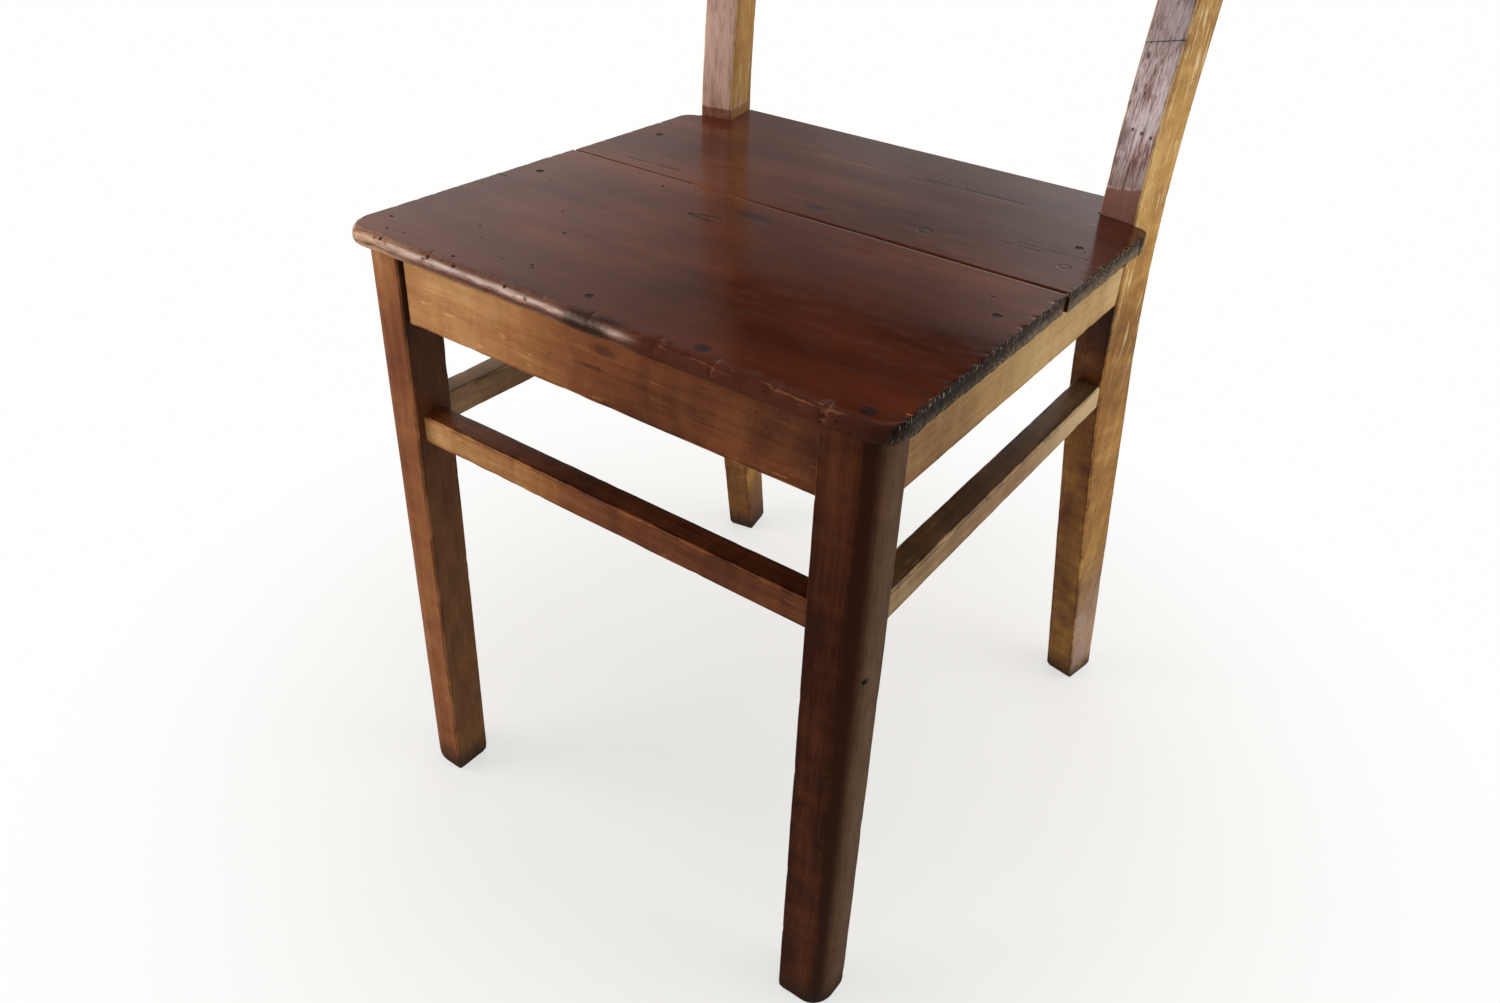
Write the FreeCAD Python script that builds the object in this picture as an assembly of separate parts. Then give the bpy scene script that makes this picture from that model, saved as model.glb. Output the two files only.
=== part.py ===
import FreeCAD, Part
import math
import os

# Plain board-seat chair: tenoned frame, toed and bent rear posts, one curved backrest board.
# Millimetres. X to the right as seen from the front, Y to the back, Z up.
# Pieces are laid out with Y measured from the front edge of the seat, and the finished chair
# is moved so that the origin lies on the floor below the middle of its outer box.

# Seat boards
seat_height = 450.0
seat_thickness = 12.0
seat_overhang = 6.5
front_board_depth = 197.0
seat_gap = 2.0
rear_board_depth = 115.0
back_strip_depth = 58.0
rear_board_shift = 1.2
seat_corner_radius = 14.0
seat_nose_flat = 1.0
ear_depth = 15.0
ear_corner_radius = 11.0
seat_to_post_clearance = 0.8

# Front legs
leg_width = 34.0
leg_depth = 29.5
leg_corner_radius = 17.0
leg_arris_radius = 2.0
leg_set_back = 5.3
leg_top_spread = 361.0
leg_splay = 8.3
foot_chamfer_margin = 0.2

# Rear posts; their corner is where the two straight runs of the front face would meet
post_width = 26.0
post_toe_angle = 11.2
post_corner_inset = 7.1
post_corner_set_back = 5.2
post_front_bend_drop = 38.0
post_rear_bend_drop = 21.0
post_leg_angle = 14.0
post_back_angle = 8.0
post_front_radius = 740.0
post_rear_radius = 700.0
post_foot_depth = 31.6
post_bend_depth = 42.7
post_top_depth = 22.0
post_arris_radius = 2.0
post_top_chamfer = 2.5
back_rise = 340.0

# Aprons under the seat; side set-backs are from the posts' outer arrises
apron_thickness = 18.0
front_apron_height = 43.0
front_apron_set_back = 3.0
side_apron_height = 46.0
side_apron_set_back = 0.6
rear_apron_height = 43.0
rear_apron_set_back = 28.8

# Stretchers
stretcher_thickness = 18.0
stretcher_height = 19.5
stretcher_gap = 63.5
front_stretcher_set_back = 6.0
side_stretcher_set_back = 0.9
stretcher_arris_radius = 1.5

# Backrest board
backrest_drop = 6.0
backrest_height = 202.0
backrest_thickness = 14.0
backrest_radius = 788.0
backrest_recess = 13.4
backrest_edge_radius = 4.0

# Tenons and their mortises
tenon_thickness = 8.0
tenon_shoulder = 5.0
tenon_gap = 2.0
front_tenon_length = 15.0
post_tenon_length = 11.5
rear_tenon_length = 11.0
backrest_tongue_length = 10.0
backrest_tongue_shoulder = 18.0
cheek_clearance = 0.2
end_clearance = 0.5

# Corner blocks and their screws
block_leg = 52.0
block_height = 30.0
block_drop = 1.0
screw_end_distance = 20.0
screw_shank_diameter = 3.6
screw_head_diameter = 7.0
screw_head_height = 2.6
screw_grip = 9.0
screw_bite = 11.0
screw_clearance = 0.15
screw_slot_width = 1.0
screw_slot_depth = 1.0

# Seat nails into the side aprons, as (side of the chair, distance outwards from the apron's middle,
# distance behind the board's front edge), and the one nail into the front apron
front_board_nails = [(-1, 3.5, 148.0), (1, 2.1, 144.1)]
rear_board_nails = [(-1, -0.8, 69.4), (1, -2.2, 69.4), (1, 3.0, 34.6)]
front_nail_x = -8.6
front_nail_set_back = 3.1
nail_shank_diameter = 2.6
nail_head_diameter = 6.0
nail_head_height = 1.2
nail_length = 36.0
nail_sink = 0.3
nail_clearance = 0.15

# Places that follow from the sizes above
seat_underside = seat_height - seat_thickness
seat_width = leg_top_spread + 2 * seat_overhang
seat_nose_radius = (seat_thickness - seat_nose_flat) / 2
rear_board_front_y = front_board_depth + seat_gap
strip_front_y = rear_board_front_y + rear_board_depth
seat_depth = strip_front_y + back_strip_depth
chair_height = seat_height + back_rise
leg_back_y = leg_set_back + leg_depth
foot_chamfer = leg_arris_radius - foot_chamfer_margin
toe = math.radians(post_toe_angle)
lean = math.tan(math.radians(post_back_angle))
post_corner_spread = leg_top_spread - 2 * post_corner_inset
post_corner_y = strip_front_y + post_corner_set_back
post_front_bend_height = seat_height - post_front_bend_drop
post_rear_bend_height = seat_height - post_rear_bend_drop
post_foot_front = post_front_bend_height * math.tan(math.radians(post_leg_angle))
post_top_front = (chair_height - post_front_bend_height) * lean
post_foot_rear = post_foot_front + post_foot_depth
front_apron_y = leg_set_back + front_apron_set_back
front_apron_bottom = seat_underside - front_apron_height
side_apron_bottom = seat_underside - side_apron_height
rear_apron_bottom = seat_underside - rear_apron_height
rear_apron_front_y = post_corner_y + rear_apron_set_back
front_stretcher_y = leg_set_back + front_stretcher_set_back
stretcher_top = side_apron_bottom - stretcher_gap
stretcher_bottom = stretcher_top - stretcher_height
backrest_top = chair_height - backrest_drop
backrest_bottom = backrest_top - backrest_height
backrest_slope = lean * math.cos(toe)
screw_offset = block_leg - screw_end_distance
OVERRUN = 40.0


def vec(x, y, z):
    return FreeCAD.Vector(x, y, z)


def box(x0, x1, y0, y1, z0, z1):
    return Part.makeBox(x1 - x0, y1 - y0, z1 - z0, vec(x0, y0, z0))


def mirrored(shape):
    """The same piece on the other side of the chair's middle plane."""
    return shape.mirror(vec(0, 0, 0), vec(1, 0, 0))


def prism(points, direction):
    """A closed polygon pushed along a direction."""
    wire = Part.makePolygon(points + [points[0]])
    return Part.Face(wire).extrude(direction)


def rounded_outline(corners, z):
    """A level outline whose corners are (x, y, radius), joined by lines and tangent arcs."""
    edges = []
    starts = []
    count = len(corners)
    for index in range(count):
        x, y, radius = corners[index]
        before = corners[index - 1]
        after = corners[(index + 1) % count]
        here = vec(x, y, z)
        to_before = (vec(before[0], before[1], z) - here).normalize()
        to_after = (vec(after[0], after[1], z) - here).normalize()
        if radius == 0:
            starts.append((here, None, here))
            continue
        half = to_before.getAngle(to_after) / 2
        reach = radius / math.tan(half)
        bisector = (to_before + to_after).normalize()
        middle = here + bisector * (radius / math.sin(half) - radius)
        starts.append((here + to_before * reach, middle, here + to_after * reach))
    for index in range(count):
        first, middle, last = starts[index]
        following = starts[(index + 1) % count][0]
        if middle is not None:
            edges.append(Part.Arc(first, middle, last).toShape())
        if last.distanceToPoint(following) > 1e-6:
            edges.append(Part.LineSegment(last, following).toShape())
    return Part.Wire(edges)


def leg_outer_x(z):
    """Outer face of the right front leg: the leg spreads evenly towards the floor."""
    return leg_top_spread / 2 + leg_splay * (seat_underside - z) / seat_underside


def leg_inner_x(z):
    return leg_outer_x(z) - leg_width


def leg_block():
    """The right front leg before its mortises are cut."""
    outer = leg_outer_x(0)
    inner = leg_inner_x(0)
    corners = [
        (inner, leg_set_back, leg_arris_radius),
        (outer, leg_set_back, leg_corner_radius),
        (outer, leg_back_y, leg_arris_radius),
        (inner, leg_back_y, leg_arris_radius),
    ]
    face = Part.Face(rounded_outline(corners, 0))
    return face.extrude(vec(-leg_splay, 0, seat_underside))


def bottom_edges(shape):
    return [e for e in shape.Edges if e.BoundBox.ZMax < 0.001]


def bend_points(low, corner, high, radius):
    """Tangent points and middle of the arc that rounds the corner of a bent edge."""
    down = (low - corner).normalize()
    up = (high - corner).normalize()
    half = down.getAngle(up) / 2
    reach = radius / math.tan(half)
    bisector = (down + up).normalize()
    middle = corner + bisector * (radius / math.sin(half) - radius)
    return corner + down * reach, middle, corner + up * reach


def bent_edge(low, corner, high, radius):
    """Straight run, arc and straight run from the floor to the top of a post."""
    first, middle, last = bend_points(low, corner, high, radius)
    return [
        Part.LineSegment(low, first).toShape(),
        Part.Arc(first, middle, last).toShape(),
        Part.LineSegment(last, high).toShape(),
    ]


def place_on_post(shape):
    """Moves a shape from the right post's own axes, toed inwards, into the chair."""
    turned = shape.copy()
    turned.rotate(vec(0, 0, 0), vec(0, 0, 1), -post_toe_angle)
    turned.translate(vec(post_corner_spread / 2, post_corner_y, 0))
    return turned


def post_block(grow=0.0):
    """The right rear post before its mortises are cut, swollen by grow on its four sides."""
    front = bent_edge(
        vec(grow, post_foot_front - grow, 0),
        vec(grow, -grow, post_front_bend_height),
        vec(grow, post_top_front - grow, chair_height),
        post_front_radius,
    )
    rear = bent_edge(
        vec(grow, post_foot_rear + grow, 0),
        vec(grow, post_bend_depth + grow, post_rear_bend_height),
        vec(grow, post_top_front + post_top_depth + grow, chair_height),
        post_rear_radius,
    )
    top = Part.LineSegment(front[-1].Vertexes[-1].Point, rear[-1].Vertexes[-1].Point).toShape()
    floor = Part.LineSegment(rear[0].Vertexes[0].Point, front[0].Vertexes[0].Point).toShape()
    wire = Part.Wire(Part.sortEdges(front + [top] + rear + [floor])[0])
    solid = Part.Face(wire).extrude(vec(-post_width - 2 * grow, 0, 0))
    return place_on_post(solid)


def inner_slab(depth):
    """The layer of the right post that lies within depth of its inner face."""
    inside = -post_width
    layer = box(inside - OVERRUN, inside + depth, -seat_depth, seat_depth, 0, chair_height)
    return place_on_post(layer)


def post_run(z):
    """How far the post's front face lies behind the post's corner at a height, in the post's own axes."""
    low = vec(0, post_foot_front, 0)
    corner = vec(0, 0, post_front_bend_height)
    high = vec(0, post_top_front, chair_height)
    first, middle, last = bend_points(low, corner, high, post_front_radius)
    if z < first.z:
        return post_foot_front * (1 - z / post_front_bend_height)
    if z > last.z:
        return (z - post_front_bend_height) * lean
    centre = Part.Arc(first, middle, last).toShape().Curve.Center
    return centre.y - math.sqrt(post_front_radius**2 - (z - centre.z) ** 2)


def post_front_y(z):
    """Y of the right post's outer front arris at a height."""
    return post_corner_y + post_run(z) * math.cos(toe)


def post_outer_x(z):
    """X of the right post's outer front arris at a height."""
    return post_corner_spread / 2 + post_run(z) * math.sin(toe)


def rounded_post():
    """The right post with a softened top, a chamfered foot and eased long arrises."""
    post = post_block()
    top = [e for e in post.Edges if e.BoundBox.ZMin > chair_height - 0.001]
    post = post.makeChamfer(post_top_chamfer, top)
    post = post.makeChamfer(foot_chamfer, bottom_edges(post))
    long_edges = [e for e in post.Edges if e.BoundBox.ZLength > post_width]
    return post.makeFillet(post_arris_radius, long_edges)


class Tenon:
    """A rectangular tenon and the mortise that takes it with the named clearances."""

    def __init__(self, x0, x1, y0, y1, z0, z1, along):
        self.low = [x0, y0, z0]
        self.high = [x1, y1, z1]
        self.along = along

    def solid(self):
        return box(self.low[0], self.high[0], self.low[1], self.high[1], self.low[2], self.high[2])

    def mortise(self):
        low = []
        high = []
        for axis in range(3):
            room = end_clearance if axis == self.along else cheek_clearance
            low.append(self.low[axis] - room)
            high.append(self.high[axis] + room)
        return box(low[0], high[0], low[1], high[1], low[2], high[2])


def front_rail_tenon(y0, thickness, z0, z1):
    """Tenon of a front rail in the right leg, reaching in from the leg's inner face."""
    middle_y = y0 + thickness / 2
    shoulder_x = leg_inner_x((z0 + z1) / 2)
    return Tenon(
        shoulder_x - tenon_shoulder,
        shoulder_x + front_tenon_length,
        middle_y - tenon_thickness / 2,
        middle_y + tenon_thickness / 2,
        z0 + tenon_shoulder,
        z1 - tenon_shoulder,
        along=0,
    )


def side_rail_tenons(outer, thickness, z0, z1, front_tenon):
    """Tenons of a right side rail in the leg, short of the front rail's tenon, and in the post."""
    middle_x = outer - thickness / 2
    leg_end_y = front_tenon.high[1] + tenon_gap
    x0 = middle_x - tenon_thickness / 2
    x1 = middle_x + tenon_thickness / 2
    low = z0 + tenon_shoulder
    high = z1 - tenon_shoulder
    rear_y = post_front_y((z0 + z1) / 2)
    front = Tenon(x0, x1, leg_end_y, leg_back_y + tenon_shoulder, low, high, along=1)
    rear = Tenon(x0, x1, rear_y - tenon_shoulder, rear_y + post_tenon_length, low, high, along=1)
    return front, rear


side_apron_outer = post_outer_x((side_apron_bottom + seat_underside) / 2) - side_apron_set_back
side_stretcher_outer = post_outer_x((stretcher_bottom + stretcher_top) / 2) - side_stretcher_set_back
side_apron_middle = side_apron_outer - apron_thickness / 2
front_apron_middle = front_apron_y + apron_thickness / 2
front_apron_tenon = front_rail_tenon(front_apron_y, apron_thickness, front_apron_bottom, seat_underside)
front_stretcher_tenon = front_rail_tenon(
    front_stretcher_y, stretcher_thickness, stretcher_bottom, stretcher_top
)
side_apron_tenons = side_rail_tenons(
    side_apron_outer, apron_thickness, side_apron_bottom, seat_underside, front_apron_tenon
)
side_stretcher_tenons = side_rail_tenons(
    side_stretcher_outer, stretcher_thickness, stretcher_bottom, stretcher_top, front_stretcher_tenon
)


def front_leg():
    leg = leg_block()
    leg = leg.makeChamfer(foot_chamfer, bottom_edges(leg))
    for tenon in (front_apron_tenon, front_stretcher_tenon, side_apron_tenons[0], side_stretcher_tenons[0]):
        leg = leg.cut(tenon.mortise())
    return leg


def rear_tenon(room=0.0, end_room=0.0):
    """Tenon of the rear apron in the right post, square to the rail."""
    middle_y = rear_apron_front_y + apron_thickness / 2
    half = tenon_thickness / 2 + room
    low = rear_apron_bottom + tenon_shoulder - room
    high = seat_underside - tenon_shoulder + room
    bar = box(0, leg_top_spread, middle_y - half, middle_y + half, low, high)
    return bar.common(inner_slab(rear_tenon_length + end_room))


def backrest_centre_y(z):
    """Y of the axis that the backrest curves around, set by where the board meets the posts."""
    inner_x = post_outer_x(backrest_bottom) - post_width * math.cos(toe)
    inner_y = post_front_y(backrest_bottom) + post_width * math.sin(toe) + backrest_recess
    axis_y = inner_y - math.sqrt(backrest_radius**2 - inner_x**2)
    return axis_y + backrest_slope * (z - backrest_bottom)


def curved_board(thickness, bottom, top, edge_radius=0.0):
    """The backrest's curve in plan, pushed up along the lean of the posts."""
    height = top - bottom
    centre_y = backrest_centre_y(bottom)
    half_angle = math.asin(post_outer_x(chair_height) / backrest_radius)

    def point(radius, angle):
        return vec(radius * math.sin(angle), centre_y + radius * math.cos(angle), bottom)

    near = backrest_radius - thickness / 2
    far = backrest_radius + thickness / 2
    edges = [
        Part.Arc(point(near, -half_angle), point(near, 0), point(near, half_angle)).toShape(),
        Part.LineSegment(point(near, half_angle), point(far, half_angle)).toShape(),
        Part.Arc(point(far, half_angle), point(far, 0), point(far, -half_angle)).toShape(),
        Part.LineSegment(point(far, -half_angle), point(near, -half_angle)).toShape(),
    ]
    board = Part.Face(Part.Wire(edges)).extrude(vec(0, backrest_slope * height, height))
    if edge_radius:
        long_edges = []
        for edge in board.Edges:
            bounds = edge.BoundBox
            if bounds.ZLength < 0.001 and bounds.XLength > backrest_thickness * 2:
                long_edges.append(edge)
        board = board.makeFillet(edge_radius, long_edges)
    return board


def backrest_tongue(room=0.0, end_room=0.0):
    """Tongue of the backrest board in the right post's inner face."""
    low = backrest_bottom + backrest_tongue_shoulder - room
    high = backrest_top - backrest_tongue_shoulder + room
    board = curved_board(tenon_thickness + 2 * room, low, high)
    right_half = box(0, seat_width, 0, chair_height, 0, chair_height)
    return board.common(right_half).common(inner_slab(backrest_tongue_length + end_room))


def rear_post():
    post = rounded_post()
    post = post.cut(side_apron_tenons[1].mortise())
    post = post.cut(side_stretcher_tenons[1].mortise())
    post = post.cut(rear_tenon(cheek_clearance, end_clearance))
    return post.cut(backrest_tongue(cheek_clearance, end_clearance))


def front_rail(y0, thickness, z0, z1, tenon):
    """A rail between the front legs, with shoulders that follow the legs' splay."""
    low = leg_inner_x(z0)
    high = leg_inner_x(z1)
    points = [vec(-low, y0, z0), vec(low, y0, z0), vec(high, y0, z1), vec(-high, y0, z1)]
    rail = prism(points, vec(0, thickness, 0))
    return rail.fuse([tenon.solid(), mirrored(tenon.solid())]).removeSplitter()


def side_rail(outer, thickness, z0, z1, tenons):
    """A right side rail from the leg's back to the post's front face."""
    rail = box(outer - thickness, outer, leg_back_y, post_front_y(z0) + OVERRUN, z0, z1)
    rail = rail.cut(post_block())
    rail = max(rail.Solids, key=lambda solid: solid.Volume if solid.CenterOfMass.y < post_corner_y else 0)
    return rail.fuse([tenons[0].solid(), tenons[1].solid()]).removeSplitter()


def eased(rail, radius):
    """Softens the long arrises of a stretcher between its shoulders."""
    longest = max(rail.BoundBox.XLength, rail.BoundBox.YLength) / 2
    return rail.makeFillet(radius, [e for e in rail.Edges if e.Length > longest])


def rear_apron():
    reach = leg_top_spread / 2
    rail = box(
        -reach,
        reach,
        rear_apron_front_y,
        rear_apron_front_y + apron_thickness,
        rear_apron_bottom,
        seat_underside,
    )
    rail = rail.cut([post_block(), mirrored(post_block())])
    rail = min(rail.Solids, key=lambda solid: abs(solid.CenterOfMass.x))
    return rail.fuse([rear_tenon(), mirrored(rear_tenon())]).removeSplitter()


def backrest_board():
    board = curved_board(backrest_thickness, backrest_bottom, backrest_top, backrest_edge_radius)
    board = board.cut([post_block(), mirrored(post_block())])
    board = min(board.Solids, key=lambda solid: abs(solid.CenterOfMass.x))
    return board.fuse([backrest_tongue(), mirrored(backrest_tongue())]).removeSplitter()


def nail(x, y):
    """One sunk nail: flat head on a round shank with a pointed end."""
    top = seat_height - nail_sink
    tip = nail_shank_diameter
    head = Part.makeCylinder(nail_head_diameter / 2, nail_head_height, vec(x, y, top - nail_head_height))
    shank_length = nail_length - nail_head_height - tip
    shank_bottom = top - nail_head_height - shank_length
    shank = Part.makeCylinder(nail_shank_diameter / 2, shank_length, vec(x, y, shank_bottom))
    point = Part.makeCone(0, nail_shank_diameter / 2, tip, vec(x, y, shank_bottom - tip))
    return head.fuse([shank, point]).removeSplitter()


def nail_hole(x, y):
    """The hole that a nail has driven, with the dished place of its head."""
    top = seat_height - nail_sink
    seat = top - nail_head_height
    bore = Part.makeCylinder(
        nail_shank_diameter / 2 + nail_clearance, nail_length, vec(x, y, top - nail_length - nail_clearance)
    )
    dish = Part.makeCylinder(
        nail_head_diameter / 2 + nail_clearance, nail_head_height + nail_sink, vec(x, y, seat)
    )
    return bore.fuse(dish)


all_nails = [(front_nail_x, front_apron_middle + front_nail_set_back)]
for side, outwards, behind in front_board_nails:
    all_nails.append((side * (side_apron_middle + outwards), behind))
for side, outwards, behind in rear_board_nails:
    all_nails.append((side * (side_apron_middle + outwards), rear_board_front_y + behind))


def nailed(piece):
    """A piece with every seat nail's hole that reaches it."""
    return piece.cut([nail_hole(x, y) for x, y in all_nails])


def seat_front_board():
    half = seat_width / 2
    radius = seat_nose_radius
    low = seat_underside
    turn = radius * (1 - math.sqrt(0.5))
    edges = [
        Part.LineSegment(vec(-half, front_board_depth, low), vec(-half, radius, low)).toShape(),
        Part.Arc(vec(-half, radius, low), vec(-half, turn, low + turn), vec(-half, 0, low + radius)).toShape(),
        Part.LineSegment(vec(-half, 0, low + radius), vec(-half, 0, seat_height - radius)).toShape(),
        Part.Arc(
            vec(-half, 0, seat_height - radius),
            vec(-half, turn, seat_height - turn),
            vec(-half, radius, seat_height),
        ).toShape(),
        Part.LineSegment(vec(-half, radius, seat_height), vec(-half, front_board_depth, seat_height)).toShape(),
        Part.LineSegment(vec(-half, front_board_depth, seat_height), vec(-half, front_board_depth, low)).toShape(),
    ]
    nosed = Part.Face(Part.Wire(edges)).extrude(vec(seat_width, 0, 0))
    corners = [
        (-half, 0, seat_corner_radius),
        (half, 0, seat_corner_radius),
        (half, front_board_depth, 0),
        (-half, front_board_depth, 0),
    ]
    outline = Part.Face(rounded_outline(corners, seat_underside)).extrude(vec(0, 0, seat_thickness))
    return nailed(nosed.common(outline))


def seat_rear_board():
    half = seat_width / 2
    board = box(-half, half, rear_board_front_y, strip_front_y, seat_underside, seat_height)
    board.translate(vec(rear_board_shift, 0, 0))
    return nailed(board)


def seat_back_strip():
    """The narrow last board: rounded ears beside the posts, notches for them and a tongue between them."""
    half = seat_width / 2
    tongue = post_outer_x(seat_height)
    ear_y = strip_front_y + ear_depth
    shift = rear_board_shift
    corners = [
        (shift - half, strip_front_y, 0),
        (shift + half, strip_front_y, 0),
        (shift + half, ear_y, ear_corner_radius),
        (tongue, ear_y, 0),
        (tongue, seat_depth, 0),
        (-tongue, seat_depth, 0),
        (-tongue, ear_y, 0),
        (shift - half, ear_y, ear_corner_radius),
    ]
    strip = Part.Face(rounded_outline(corners, seat_underside)).extrude(vec(0, 0, seat_thickness))
    grown = post_block(seat_to_post_clearance)
    strip = strip.cut([grown, mirrored(grown)])
    return max(strip.Solids, key=lambda solid: solid.Volume)


def screw(place, direction):
    """One countersunk wood screw whose head faces against direction, from place onwards."""
    head = Part.makeCone(
        screw_head_diameter / 2, screw_shank_diameter / 2, screw_head_height, place, direction
    )
    neck = place + direction * screw_head_height
    grip = screw_grip + screw_bite - screw_head_height - screw_shank_diameter
    shank = Part.makeCylinder(screw_shank_diameter / 2, grip, neck, direction)
    point = Part.makeCone(
        screw_shank_diameter / 2, 0, screw_shank_diameter, neck + direction * grip, direction
    )
    side = vec(-direction.y, direction.x, 0)
    slot = Part.makeBox(screw_head_diameter, screw_slot_width, screw_slot_depth)
    slot.translate(vec(-screw_head_diameter / 2, -screw_slot_width / 2, 0))
    slot.Placement = FreeCAD.Placement(place, FreeCAD.Rotation(side, vec(0, 0, 1), direction)).multiply(
        slot.Placement
    )
    return head.fuse([shank, point]).removeSplitter().cut(slot)


def screw_hole(place, direction):
    """Counterbore, countersink and pilot hole of a corner-block screw."""
    room = screw_clearance
    length = screw_grip + screw_bite + 2 * room
    bore = Part.makeCylinder(screw_shank_diameter / 2 + room, length, place, direction)
    sink = Part.makeCone(
        screw_head_diameter / 2 + room,
        screw_shank_diameter / 2 + room,
        screw_head_height,
        place,
        direction,
    )
    access = Part.makeCylinder(screw_head_diameter / 2 + room, block_leg, place, direction * -1)
    return bore.fuse([sink, access])


inner_side_x = side_apron_outer - apron_thickness
front_corner = vec(inner_side_x, front_apron_y + apron_thickness, 0)
rear_corner = vec(inner_side_x, rear_apron_front_y, 0)
block_top = seat_underside - block_drop
block_middle = block_top - block_height / 2


def block_screws(corner, inward):
    """Places and directions of the two screws of a right block; inward is +1 at the front."""
    into_side = (vec(corner.x - screw_grip, corner.y + inward * screw_offset, block_middle), vec(1, 0, 0))
    into_end = (vec(corner.x - screw_offset, corner.y + inward * screw_grip, block_middle), vec(0, -inward, 0))
    return [into_side, into_end]


def corner_block(corner, inward, neighbour):
    """A glued three-cornered block, notched where the leg or post stands in the corner."""
    bottom = block_top - block_height
    points = [
        vec(corner.x, corner.y, bottom),
        vec(corner.x - block_leg, corner.y, bottom),
        vec(corner.x, corner.y + inward * block_leg, bottom),
    ]
    block = prism(points, vec(0, 0, block_height)).cut(neighbour)
    block = max(block.Solids, key=lambda solid: solid.Volume)
    return block.cut([screw_hole(place, direction) for place, direction in block_screws(corner, inward)])


right_screws = block_screws(front_corner, 1) + block_screws(rear_corner, -1)
right_screw_holes = [screw_hole(place, direction) for place, direction in right_screws]
left_screw_holes = [mirrored(hole) for hole in right_screw_holes]


def chair():
    """Every piece of the chair by its name, still measured from the seat's front edge."""
    pieces = {}
    leg = front_leg()
    post = rear_post()
    stretcher = eased(
        side_rail(
            side_stretcher_outer,
            stretcher_thickness,
            stretcher_bottom,
            stretcher_top,
            side_stretcher_tenons,
        ),
        stretcher_arris_radius,
    )
    apron = side_rail(
        side_apron_outer, apron_thickness, side_apron_bottom, seat_underside, side_apron_tenons
    ).cut(right_screw_holes)
    front_block = corner_block(front_corner, 1, leg_block())
    rear_block = corner_block(rear_corner, -1, post_block())
    pairs = {
        "front_leg": leg,
        "rear_post": post,
        "side_apron": apron,
        "side_stretcher": stretcher,
        "front_corner_block": front_block,
        "rear_corner_block": rear_block,
    }
    for name, right in pairs.items():
        pieces[name + "_right"] = right
        pieces[name + "_left"] = mirrored(right)
    for side in ("side_apron_right", "side_apron_left"):
        pieces[side] = nailed(pieces[side])
    screw_holes = right_screw_holes + left_screw_holes
    front_apron = front_rail(
        front_apron_y, apron_thickness, front_apron_bottom, seat_underside, front_apron_tenon
    )
    pieces["front_apron"] = nailed(front_apron).cut(screw_holes)
    pieces["rear_apron"] = rear_apron().cut(screw_holes)
    front_stretcher = front_rail(
        front_stretcher_y,
        stretcher_thickness,
        stretcher_bottom,
        stretcher_top,
        front_stretcher_tenon,
    )
    pieces["front_stretcher"] = eased(front_stretcher, stretcher_arris_radius)
    pieces["backrest_board"] = backrest_board()
    pieces["seat_front_board"] = seat_front_board()
    pieces["seat_rear_board"] = seat_rear_board()
    pieces["seat_back_strip"] = seat_back_strip()
    pieces["seat_nails"] = Part.makeCompound([nail(x, y) for x, y in all_nails])
    right = [screw(place, direction) for place, direction in right_screws]
    pieces["corner_block_screws"] = Part.makeCompound(right + [mirrored(one) for one in right])
    return pieces


os.makedirs("parts", exist_ok=True)
pieces = chair()
chair_depth = pieces["rear_post_right"].optimalBoundingBox(False).YMax
for name, piece in pieces.items():
    piece.translate(vec(0, -chair_depth / 2, 0))
    solids = piece.Solids
    shape = solids[0] if len(solids) == 1 else Part.makeCompound(solids)
    shape.exportStep(f"parts/{name}.step")
    print(name, len(solids), shape.isValid(), round(shape.Volume))
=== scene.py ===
import math
import random

import bpy
from mathutils import Matrix, Vector, noise

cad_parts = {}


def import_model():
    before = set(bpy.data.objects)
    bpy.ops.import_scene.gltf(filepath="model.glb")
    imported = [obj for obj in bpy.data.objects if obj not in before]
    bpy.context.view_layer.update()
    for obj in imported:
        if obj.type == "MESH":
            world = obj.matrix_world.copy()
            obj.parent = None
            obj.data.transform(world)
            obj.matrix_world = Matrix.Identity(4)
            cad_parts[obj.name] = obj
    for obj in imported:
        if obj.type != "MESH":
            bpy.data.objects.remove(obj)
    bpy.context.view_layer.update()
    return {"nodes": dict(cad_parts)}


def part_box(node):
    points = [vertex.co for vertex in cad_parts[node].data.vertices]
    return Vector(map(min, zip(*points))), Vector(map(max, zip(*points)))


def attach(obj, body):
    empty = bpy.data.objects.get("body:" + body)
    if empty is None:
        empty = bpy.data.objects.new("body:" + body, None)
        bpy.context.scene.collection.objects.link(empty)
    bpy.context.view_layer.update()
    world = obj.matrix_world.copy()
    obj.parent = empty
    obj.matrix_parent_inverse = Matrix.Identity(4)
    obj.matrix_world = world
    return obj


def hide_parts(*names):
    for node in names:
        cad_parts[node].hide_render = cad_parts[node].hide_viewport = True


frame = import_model()

# Sizes in millimetres. X is to the right as seen from the front, Z up, and Y is measured from the
# front edge of the seat; place() turns such a point into metres of the row frame. Sizes in the
# materials, the lights and the world are in metres.
MM = 0.001
FRONT_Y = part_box("seat_front_board")[0][1]

SEAT_TOP = 450.0
SEAT_THICKNESS = 12.0
SEAT_UNDERSIDE = SEAT_TOP - SEAT_THICKNESS
SEAT_HALF = 187.0
FRONT_BOARD_DEPTH = 197.0
REAR_BOARD_FRONT = 199.0
STRIP_FRONT = 314.0
STRIP_GAP = 0.05
REAR_SHIFT = 1.2
SEAT_CORNER = 14.0
NOSE_RADIUS = 5.5
# A seat board's section is drawn this deep and then stretched to the board's own depth.
SECTION_DEPTH = 100.0
# How far from a board's ends the tearing reaches.
TORN_REACH = 6.0

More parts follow.
